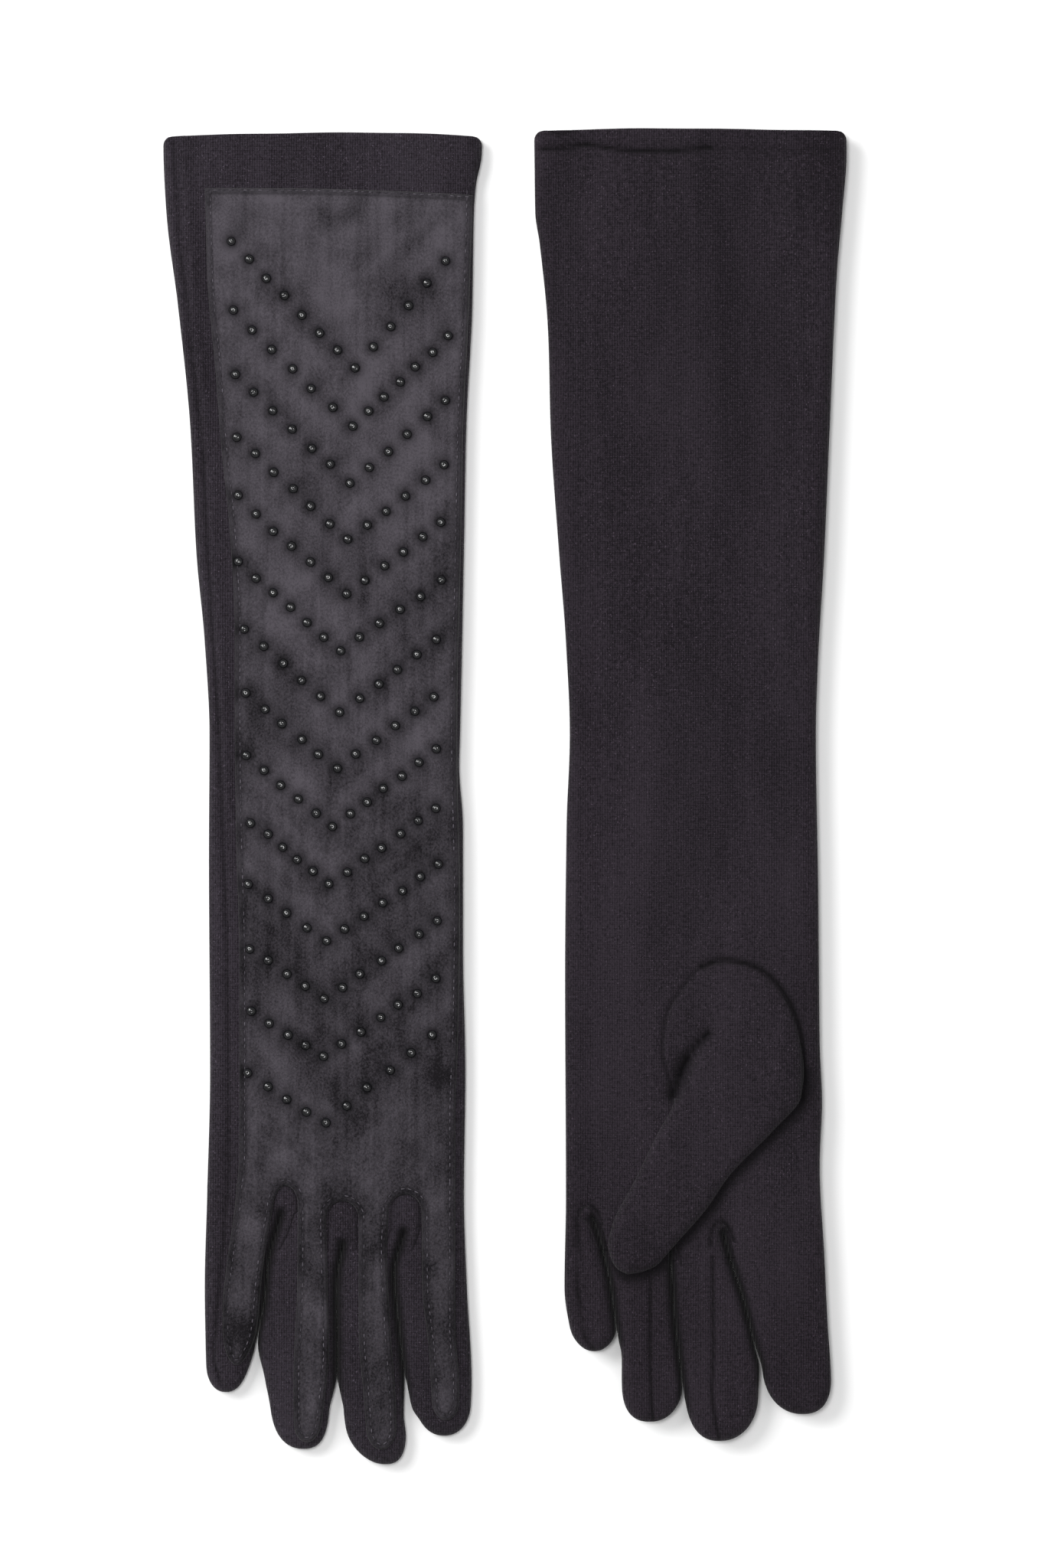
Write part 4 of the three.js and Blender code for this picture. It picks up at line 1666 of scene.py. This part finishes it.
def scatter_tree() -> bpy.types.NodeTree:
    """Makes the node tree that sets one shape on every point, the first time it is asked for.

    Returns:
        The tree.
    """
    tree = bpy.data.node_groups.get("scatter")
    if tree is not None:
        return tree
    tree = bpy.data.node_groups.new("scatter", "GeometryNodeTree")
    ports = tree.interface
    for name, kind in (
        ("Points", "Geometry"), ("Shape", "Object"), ("Finish", "Material"),
        ("Seed", "Int"), ("Smallest", "Float"), ("Largest", "Float"),
    ):
        ports.new_socket(name, in_out="INPUT", socket_type=f"NodeSocket{kind}")
    ports.new_socket("Result", in_out="OUTPUT", socket_type="NodeSocketGeometry")
    nodes, links = tree.nodes, tree.links
    come, go = nodes.new("NodeGroupInput"), nodes.new("NodeGroupOutput")
    points = nodes.new("GeometryNodeMeshToPoints")
    shape = nodes.new("GeometryNodeObjectInfo")
    turn = nodes.new("GeometryNodeInputNamedAttribute")
    turn.data_type = "FLOAT_VECTOR"
    turn.inputs["Name"].default_value = "turn"
    size = nodes.new("FunctionNodeRandomValue")
    size.data_type = "FLOAT"
    place = nodes.new("GeometryNodeInstanceOnPoints")
    real = nodes.new("GeometryNodeRealizeInstances")
    dress = nodes.new("GeometryNodeSetMaterial")
    links.new(come.outputs["Points"], points.inputs["Mesh"])
    links.new(come.outputs["Shape"], shape.inputs["Object"])
    links.new(points.outputs["Points"], place.inputs["Points"])
    links.new(shape.outputs["Geometry"], place.inputs["Instance"])
    links.new(turn.outputs["Attribute"], place.inputs["Rotation"])
    floats = [s for s in size.inputs if s.type == "VALUE"]
    links.new(come.outputs["Smallest"], floats[0])
    links.new(come.outputs["Largest"], floats[1])
    links.new(come.outputs["Seed"], size.inputs["Seed"])
    values = [s for s in size.outputs if s.type == "VALUE"]
    links.new(values[0], place.inputs["Scale"])
    links.new(place.outputs["Instances"], real.inputs["Geometry"])
    links.new(real.outputs["Geometry"], dress.inputs["Geometry"])
    links.new(come.outputs["Finish"], dress.inputs["Material"])
    links.new(dress.outputs["Geometry"], go.inputs["Result"])
    return tree


def scattered(
    name: str,
    at: np.ndarray,
    turns: np.ndarray,
    shape: bpy.types.Object,
    finish: bpy.types.Material,
    seed: int,
) -> bpy.types.Object:
    """Sets a shape on points with the scatter tree and keeps the result as a plain mesh.

    Args:
        name: the new object's name.
        at: points in millimetres.
        turns: each shape's turn, as Euler angles in radians.
        shape: the shape to repeat.
        finish: its material.
        seed: the seed of its small differences in size.

    Returns:
        The finished object, linked to the scene.
    """
    mesh = bpy.data.meshes.new(f"{name}_points")
    mesh.from_pydata((at * MM).tolist(), [], [])
    attribute = mesh.attributes.new("turn", "FLOAT_VECTOR", "POINT")
    attribute.data.foreach_set("vector", turns.astype(np.float32).ravel())
    carrier = bpy.data.objects.new(f"{name}_points", mesh)
    bpy.context.scene.collection.objects.link(carrier)
    modifier = carrier.modifiers.new("scatter", "NODES")
    tree = scatter_tree()
    modifier.node_group = tree
    ids = {item.name: item.identifier for item in tree.interface.items_tree if item.in_out == "INPUT"}
    inputs = {"Shape": shape, "Finish": finish, "Seed": seed, "Smallest": 0.97, "Largest": 1.03}
    for port, value in inputs.items():
        modifier[ids[port]] = value
    bpy.context.view_layer.update()
    graph = bpy.context.evaluated_depsgraph_get()
    made = bpy.data.meshes.new_from_object(carrier.evaluated_get(graph))
    made.name = name
    bpy.data.objects.remove(carrier)
    thing = bpy.data.objects.new(name, made)
    bpy.context.scene.collection.objects.link(thing)
    return thing


@dataclass
class ThumbWork:
    """The thumb and the oval gusset it grows from, folded flat against the palm."""

    glove: Glove
    lift: float = 3.5
    columns: int = 24
    rounding: float = 4.2
    reach: float = 7.0
    tucked_z: float = 1.7
    folded_z: float = 12.7

    def sides(self, t: np.ndarray) -> tuple[np.ndarray, np.ndarray]:
        """Finds the thumb's two edges.

        Args:
            t: places along the thumb, from -1 at the gusset's top to 1 at the tip.

        Returns:
            The left and the right (x, y) points at each place.
        """
        stations = self.glove.plan.thumb.stations
        at = np.array([s[0] for s in stations])
        found = []
        for side in (1, 2):
            x = EdgeLine(tuple(zip(at.tolist(), [s[side][0] for s in stations]))).at(t)
            y = EdgeLine(tuple(zip(at.tolist(), [s[side][1] for s in stations]))).at(t)
            found.append(np.stack([x, y], axis=-1))
        return found[0], found[1]

    def heights(self, x: np.ndarray, y: np.ndarray, t: np.ndarray) -> tuple[np.ndarray, np.ndarray]:
        """Finds the two faces of the thumb.

        Args:
            x: the points' x, in millimetres.
            y: the points' y.
            t: how far along the thumb each point is, from -1 at the gusset's top to 1 at the tip.

        Returns:
            Heights in millimetres, of the face nearer the palm first.
        """
        glove = self.glove
        tip = 0.9 + 0.1 * np.sin(np.linspace(0, math.pi / 2, 20))
        fine = np.concatenate([np.linspace(-1, 0.9, 60), tip])
        left, right = self.sides(fine)
        rim = [left, right, np.stack([left[-1], right[-1]])]
        away = near_lines(rim, x, y, 12.0)
        edge = rounded(away / self.rounding)
        grown = smoothstep((t + 0.95) / 0.95)
        if glove.back_up:
            near = np.minimum(glove.form.face(x, y, False), 3.5) - 0.1
            swell = (near - 0.1) * edge * grown
            low = near - np.maximum(swell, 0.12 + 0.25 * edge)
            return near + np.where(t > 0, -0.05, 0.6), low
        palm = glove.form.face(x, y, True)
        even = glove.plan.mid_z + glove.plan.half + Ripple(glove.plan.seed).at(x, y)
        clear = smoothstep((t + 0.1) / 0.15)
        palm = palm * (1 - clear) + even * clear
        ripple = Ripple(31, 0.2, 12.0, 40.0).at(x, y) * edge
        beside = smoothstep((x - glove.plan.thumb.fold.at(y)) / 3.2)
        above = smoothstep((y + 80.3) / 9.0)
        grown = grown * np.maximum(np.where(t > 0.0, 1.0, beside), above)
        high = palm + 0.15 + (0.35 + (self.lift - 0.35) * grown) * edge + ripple * grown
        return palm + np.where(t > 0.02, 0.15, -0.5), high

    def build(self) -> None:
        """Makes the gusset and the thumb."""
        glove = self.glove
        share = across(self.columns, self.rounding, 40.0)[None, :, None]
        gusset = -np.cos(np.linspace(0, math.pi / 2, 36))
        tip = 0.9 + 0.1 * np.sin(np.linspace(0, math.pi / 2, 14))[1:]
        stall = np.concatenate([np.linspace(0, 0.9, 50), tip])
        for name, t in (("thumb_gusset", gusset), ("thumb", stall)):
            left, right = self.sides(t)
            grid = left[:, None, :] * (1 - share) + right[:, None, :] * share
            x, y = grid[..., 0], grid[..., 1]
            run = np.repeat(t[:, None], x.shape[1], axis=1)
            near, far = self.heights(x, y, run)
            high, low = (near, far) if glove.back_up else (far, near)
            # Only the palm-up gusset gets painted shade, along its creases and in the slits.
            gusset_shaded = name == "thumb_gusset" and not glove.back_up
            shade = glove.form.painted_shade(x, y, False) if gusset_shaded else None
            piece = slab(glove.name(f"{name}_cloth"), x, y, high, low, glove.jersey, shade)
            wide = np.linalg.norm(right - left, axis=1)
            middle = (left + right) / 2
            long = np.linalg.norm(np.diff(middle, axis=0), axis=1)
            area = float(((wide[:-1] + wide[1:]) / 2 * long).sum()) * MM * MM
            if name == "thumb":
                glove.name("glove")
                glove.name("thumb_stall")
                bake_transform(piece)
                glove.dress(piece, "jersey", "thumb")
            else:
                glove.settle(piece, "jersey", "thumb_gusset")
            declare(piece, area, x, y)


# ---------------------------------------------------------------- the two gloves' sizes


def right_glove_plan() -> GlovePlan:
    """Lays out the right-hand glove, which lies with its studded back up.

    Returns:
        Its plan.
    """
    left = EdgeLine((
        (226.0, -115.9), (218.4, -115.8), (197.6, -114.8), (166.4, -110.9), (124.8, -106.7), (83.2, -104.7),
        (52.0, -101.8), (20.8, -100.2), (-20.8, -100.4), (-93.6, -100.0), (-135.2, -101.0),
        (-166.4, -101.8), (-187.2, -101.5), (-202.0, -101.0),
    ))
    right = EdgeLine((
        (226.0, -7.6), (218.4, -7.9), (208.0, -9.8), (197.6, -10.5), (166.4, -11.05), (124.8, -13.1),
        (83.2, -13.9), (20.8, -15.2), (10.4, -15.5), (-10.4, -14.2), (-52.0, -14.2), (-93.6, -13.4),
        (-135.2, -13.9), (-166.4, -12.9), (-197.6, -11.3), (-208.0, -11.6), (-217.0, -12.2),
    ))
    slits = (
        Slit(
            EdgeLine(((-131.8, -75.3), (-141, -76.1), (-157, -80.2), (-170, -81.5), (-187, -84.3),
                      (-197.6, -84.6), (-208, -84.0), (-222, -83.5))),
            EdgeLine(((-131, 0.1), (-170, 0.1), (-182, 0.3), (-187, 1.2), (-197.6, 6.4), (-208, 9.0),
                      (-222, 10.0))),
            -140.9, -131.8, -74.4,
        ),
        Slit(
            EdgeLine(((-137, -54.5), (-151.3, -55.0), (-164.8, -57.1), (-187, -56.9), (-202, -57.0),
                      (-208, -57.1), (-216, -56.5), (-226, -54.5))),
            EdgeLine(((-137, 0.1), (-196, 0.1), (-202, 2.2), (-208, 4.8), (-216, 5.4), (-226, 4.4))),
            -151.3, -137.0, -55.0,
        ),
        Slit(
            EdgeLine(((-134.7, -33.5), (-147.4, -34.4), (-161, -37.6), (-180, -35.9), (-195, -34.2),
                      (-199, -33.7), (-207.5, -32.9), (-212, -31.9), (-218, -31.2), (-226, -31.0))),
            EdgeLine(((-134.7, 0.1), (-195, 0.1), (-199, 0.9), (-207.5, 2.8), (-212, 4.4), (-226, 4.4))),
            -147.4, -134.7, -33.7,
        ),
    )
    fingers = (
        FingerPlan(
            "little", -202.0, 9.5,
            EdgeLine(((-120, -89.9), (-140, -91.6), (-160, -94.4), (-172.9, -95.6), (-188.8, -95.6),
                      (-194, -95.4))),
            EdgeLine(((-131, -77.6), (-140.9, -78.9), (-150, -80.6), (-164.8, -82.6), (-176.8, -83.6),
                      (-194, -86.6))),
            -192.6, 12.0,
        ),
        FingerPlan(
            "ring", -221.3, 15.0,
            EdgeLine(((-131, -70.1), (-164.8, -70.3), (-196.8, -71.6), (-220, -71.4))),
            EdgeLine(((-131, -61.0), (-143.5, -60.6), (-160.9, -60.2), (-188.8, -59.6), (-200, -60.6),
                      (-212, -62.0), (-220, -63.0))),
            -218.9, 6.5,
        ),
        FingerPlan(
            "middle", -226.5, 14.0,
            EdgeLine(((-131, -49.6), (-140.9, -49.5), (-180.7, -49.5), (-204.6, -47.7), (-222, -46.4))),
            EdgeLine(((-131, -39.6), (-140, -39.4), (-152.9, -40.0), (-176.8, -39.0), (-212.7, -36.8),
                      (-222, -37.2))),
            -221.3, 6.5, 2.2,
        ),
        FingerPlan(
            "index", -216.8, 11.0,
            EdgeLine(((-131, -28.4), (-139.4, -28.2), (-164.8, -28.0), (-188.8, -25.6), (-212, -24.4))),
            EdgeLine(((-109.2, -16.8), (-180.7, -16.8), (-196.8, -15.6), (-212, -15.4))),
            -211.3, 6.5,
        ),
    )
    # The last number of each crease is the strength of the shade painted along it.
    seam = Crease(
        ((-112.7, 223.3), (-110.4, 191.6), (-106.5, 151.8), (-102.6, 117.0), (-99.7, 64.5), (-97.9, 38.5),
         (-96.6, 12.7), (-95.8, -7.8), (-94.0, -60.8), (-93.7, -119.0), (-95.2, -149.0), (-98.0, -180.0),
         (-98.6, -190.0), (-96.1, -199.5)),
        0.65, 0.75, 0.55,
    )
    rib = Crease(
        ((-108.6, 223.3), (-106.8, 191.6), (-103.4, 151.8), (-99.6, 117.0), (-97.0, 64.5), (-95.4, 38.5),
         (-94.2, 12.7), (-93.6, -7.8)),
        -0.55, 1.5, 0.0,
    )
    thumb = ThumbPlan(
        (
            (-1.0, (-48.5, -48.8), (-44.5, -48.8)), (-0.93, (-54.0, -51.0), (-36.5, -51.5)),
            (-0.8, (-59.5, -57.5), (-27.5, -58.0)), (-0.6, (-64.7, -66.3), (-20.5, -72.0)),
            (-0.3, (-66.5, -79.3), (-19.2, -86.6)), (0.0, (-63.2, -96.2), (-20.3, -96.2)),
            (0.2, (-69.2, -108.7), (-29.6, -107.1)), (0.42, (-77.2, -125.3), (-44.5, -122.4)),
            (0.62, (-83.7, -137.8), (-52.2, -133.6)), (0.8, (-85.5, -146.1), (-62.4, -145.3)),
            (0.92, (-84.5, -151.3), (-66.5, -150.0)), (1.0, (-78.5, -155.4), (-75.5, -155.2)),
        ),
        (-48.5, -103.0),
    )
    return GlovePlan(
        "right", Facing.BACK_UP, STUD_AXIS_X, 3.8, left, right, slits, fingers,
        EdgeLine(((206.0, -101.6), (175.8, -100.8), (143.9, -98.0), (118.0, -96.0), (90.3, -93.2),
                  (55.9, -91.5), (21.3, -91.5), (-9.6, -91.1), (-60.0, -89.9), (-120.0, -89.9),
                  (-131.0, -90.6))),
        EdgeLine(((206.0, -10.9), (166.4, -12.1), (124.8, -14.1), (83.2, -14.9), (20.8, -16.2),
                  (-36.0, -15.2), (-76.7, -15.7), (-109.0, -16.8), (-131.0, -16.8))),
        206.0, thumb, 225.0, 1.4, (seam, rib), seed=3,
    )


def left_glove_plan() -> GlovePlan:
    """Lays out the left-hand glove, which lies with its palm up.

    Returns:
        Its plan.
    """
    left = EdgeLine((
        (226.0, 9.9), (218.4, 10.0), (197.6, 10.3), (187.2, 11.8), (156.0, 14.7), (124.8, 15.5), (83.2, 18.3),
        (52.0, 20.7), (20.8, 22.0), (-10.4, 20.9), (-62.4, 20.4), (-135.2, 20.7), (-166.4, 20.2),
        (-182.0, 22.4),
        (-188.0, 24.0),
    ))
    right = EdgeLine((
        (226.0, 115.8), (218.4, 115.8), (197.6, 114.3), (176.8, 112.5), (124.8, 110.1), (83.2, 108.3),
        (41.6, 105.95), (20.8, 105.4), (-31.2, 106.2), (-83.2, 106.7), (-104.0, 107.5), (-124.8, 106.7),
        (-156.0, 108.3), (-176.8, 109.3), (-197.6, 110.6), (-209.3, 110.8),
    ))
    slits = (
        Slit(
            EdgeLine(((-137.8, 28.0), (-147.9, 31.4), (-153.5, 33.1), (-164.8, 35.6), (-176, 37.2),
                      (-183.3, 38.0), (-187.2, 38.0), (-197.6, 37.2), (-212, 36.8))),
            EdgeLine(((-137.8, 0.1), (-176, 0.1), (-181, 0.3), (-184.5, 1.2), (-188.5, 3.0), (-197.6, 4.8),
                      (-212, 6.0))),
            -143.0, -138.6, 27.4, 4.6, 2.4,
        ),
        Slit(
            EdgeLine(((-150, 55.6), (-166, 56.8), (-175.8, 57.4), (-202.3, 60.45), (-208, 60.8),
                      (-219, 61.5))),
            EdgeLine(((-150, 0.1), (-196, 0.1), (-202.3, 0.5), (-208, 1.4), (-219, 2.0))),
            -152.1, -146.0, 55.4, 4.8, 2.4,
        ),
        Slit(
            EdgeLine(((-144.6, 73.2), (-152.1, 75.0), (-166, 79.4), (-172.4, 81.3), (-185.9, 84.6),
                      (-193.4, 86.6), (-202.8, 87.2), (-218, 88.0))),
            EdgeLine(((-144.6, 0.1), (-180.0, 0.1), (-193.4, 0.9), (-202.8, 2.6), (-218, 4.0))),
            -147.5, -145.0, 73.6, 4.4, 2.4,
        ),
    )
    fingers = (
        FingerPlan(
            "little", -188.0, 9.0,
            EdgeLine(((-131, 24.0), (-150, 24.2), (-180, 26.6))),
            EdgeLine(((-131, 24.5), (-150, 27.0), (-180, 32.6))),
            -183.0, 3.0,
        ),
        FingerPlan(
            "ring", -211.9, 13.0,
            EdgeLine(((-131, 31.0), (-166, 39.0), (-208, 43.5))),
            EdgeLine(((-131, 50.0), (-166, 51.0), (-208, 54.5))),
            -207.5, 6.0, -1.0,
        ),
        FingerPlan(
            "middle", -218.4, 16.0,
            EdgeLine(((-131, 59.0), (-166, 62.0), (-213, 66.8))),
            EdgeLine(((-131, 68.5), (-166, 73.0), (-213, 77.8))),
            -213.5, 6.0, -1.5,
        ),
        FingerPlan(
            "index", -209.3, 13.0,
            EdgeLine(((-131, 78.5), (-166, 85.8), (-205, 94.0))),
            EdgeLine(((-131, 99.5), (-166, 100.5), (-205, 105.5))),
            -204.5, 6.0, 1.0,
        ),
    )
    thumb = ThumbPlan(
        (
            (-1.0, (72.0, -56.2), (76.0, -56.2)), (-0.93, (66.5, -58.2), (84.0, -58.7)),
            (-0.8, (61.0, -64.3), (92.4, -65.0)), (-0.6, (55.8, -72.7), (99.0, -78.6)),
            (-0.3, (54.0, -85.3), (101.3, -92.6)), (0.0, (57.3, -102.2), (100.2, -102.2)),
            (0.2, (51.35, -114.7), (90.9, -113.1)), (0.42, (43.3, -131.3), (76.0, -128.4)),
            (0.62, (36.8, -143.8), (68.3, -139.6)), (0.8, (35.0, -152.1), (58.1, -151.3)),
            (0.92, (36.2, -157.0), (54.0, -156.0)), (0.97, (38.2, -160.0), (51.4, -158.8)),
            (1.0, (41.5, -161.8), (46.5, -161.0)),
        ),
        (72.0, -109.0),
    )
    # The last number of each crease is the strength of the shade painted along it.
    creases = (
        Crease(((12.5, 219.4), (20.0, 219.6), (28.0, 220.6), (37.0, 219.2), (46.0, 218.4), (55.0, 218.3),
                (62.0, 219.0), (70.0, 219.6)), 1.1, 1.0, 0.9),
        Crease(((68.0, 219.5), (82.0, 219.0), (96.0, 218.6), (113.5, 218.8)), 0.5, 1.1, 0.3),
        Crease(((15.0, 225.4), (18.5, 224.2), (22.5, 225.2)), 0.6, 0.6, 0.7),
        Crease(((57.0, -100.0), (54.6, -92.0), (53.2, -85.3), (55.0, -73.0), (60.4, -64.2), (66.5, -57.8),
                (74.0, -55.4)), 0.45, 1.0, 0.5),
        Crease(((66.5, -57.8), (74.0, -55.4), (84.5, -57.6), (93.2, -64.4), (99.8, -77.8), (101.6, -92.6),
                (100.8, -102.5)), 1.0, 1.3, 1.0),
        Crease(((69.2, -79.8), (64.4, -84.8), (61.0, -90.4), (59.4, -95.0)), 2.0, 1.5, 1.0),
        Crease(((61.6, -88.6), (59.2, -94.4), (56.8, -101.4)), 2.2, 2.5, 1.0),
        Crease(((24.4, -152.0), (24.6, -142.6), (27.8, -138.0), (31.4, -140.6),
                (32.6, -146.0)), 0.6, 0.9, 0.75),
        Crease(((51.2, -158.0), (51.6, -148.6), (55.4, -144.6), (59.0, -148.8),
                (59.4, -158.0)), 0.5, 0.8, 0.7),
        Crease(((69.6, -152.0), (70.2, -146.4), (73.2, -143.4), (76.0, -146.2),
                (77.6, -150.6)), 0.7, 1.0, 0.85),
        Crease(((25.1, -145.1), (24.8, -172.4), (26.9, -182.8), (30.3, -187.0)), 0.5, 0.8, 0.75),
        Crease(((49.3, -162.8), (49.3, -192.7), (50.1, -211.0)), 0.6, 0.8, 0.85),
        Crease(((70.3, -156.0), (70.6, -185.9), (70.3, -203.1), (72.4, -217.2)), 0.6, 0.8, 0.85),
    )
    return GlovePlan(
        "left", Facing.PALM_UP, 63.0, 6.9, left, right, slits, fingers,
        EdgeLine(((206.0, 23.0), (175.8, 24.5), (118.0, 27.0), (55.9, 30.5), (-9.6, 30.0), (-131.0, 24.0))),
        EdgeLine(((206.0, 113.0), (124.8, 108.5), (20.8, 104.0), (-76.7, 104.5), (-131.0, 99.5))),
        206.0, thumb, 226.0, 0.6, creases, seed=5,
    )


# ---------------------------------------------------------------- the studio


@dataclass
class Studio:
    """A white floor, soft light from the upper left and a camera straight above."""

    centre: tuple[float, float] = (4.8, 4.2)
    height: float = 532.5
    distance: float = 3.0

    def build(self) -> None:
        """Makes the floor, the lights and the camera."""
        mesh = bpy.data.meshes.new("floor")
        size, below = 6.0, -0.0004
        corners = [(size * i, size * j, below) for i, j in ((-1, -1), (1, -1), (1, 1), (-1, 1))]
        mesh.from_pydata(corners, [], [(0, 1, 2, 3)])
        mesh.materials.append(PlainFinish("floor", (0.93, 0.93, 0.93), 0.9, 0.0, 0.1).build())
        floor = bpy.data.objects.new("floor", mesh)
        bpy.context.scene.collection.objects.link(floor)
        for name, place, side, power in (
            ("key", (-1.35, 0.85, 1.5), 1.2, 40.0),
            ("fill", (1.1, -0.3, 1.8), 1.6, 6.0),
            ("top", (-0.15, 0.2, 2.4), 0.9, 7.0),
            ("spark", (-0.24, 0.14, 2.4), 0.38, 18.0),
        ):
            self.lamp(name, place, side, power)
        world = bpy.data.worlds.new("studio")
        world.use_nodes = True
        back = next(n for n in world.node_tree.nodes if n.type == "BACKGROUND")
        back.inputs["Color"].default_value = (1.0, 1.0, 1.0, 1.0)
        back.inputs["Strength"].default_value = 0.33
        scene = bpy.context.scene
        scene.world = world
        scene.view_settings.view_transform = "Standard"
        data = bpy.data.cameras.new("camera")
        camera = bpy.data.objects.new("camera", data)
        scene.collection.objects.link(camera)
        data.sensor_width = 36.0
        data.lens = 36.0 * self.distance / (self.height * MM)
        data.clip_end = 20.0
        camera.location = (self.centre[0] * MM, self.centre[1] * MM, self.distance)
        camera.rotation_euler = (0.0, 0.0, 0.0)
        scene.camera = camera

    def lamp(self, name: str, place: tuple[float, float, float], size: float, power: float) -> None:
        """Hangs one soft square lamp that looks at the gloves.

        Args:
            name: the lamp's name.
            place: where it hangs, in metres.
            size: the length of its side, in metres.
            power: its power, in watts.
        """
        data = bpy.data.lights.new(name, "AREA")
        data.size = size
        data.energy = power
        lamp = bpy.data.objects.new(name, data)
        x, y, z = place
        lamp.location = place
        lamp.rotation_euler = (0.0, math.atan2(math.hypot(x, y), z), math.atan2(y, x))
        bpy.context.scene.collection.objects.link(lamp)


def main() -> None:
    """Builds both gloves and the studio."""
    logging.basicConfig(level=logging.INFO, format="%(name)s: %(message)s")
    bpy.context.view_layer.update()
    finishes = Wardrobe()
    for plan in (right_glove_plan(), left_glove_plan()):
        glove = Glove(plan, finishes, suede_step=SUEDE_STEPS[plan.facing])
        stalls = Stalls(glove)
        Panels(glove).build(stalls)
        stalls.build()
        Fourchettes(glove).build()
        ThumbWork(glove).build()
        SuedeWork(glove).build()
    Studio().build()


if __name__ == "__main__":
    main()
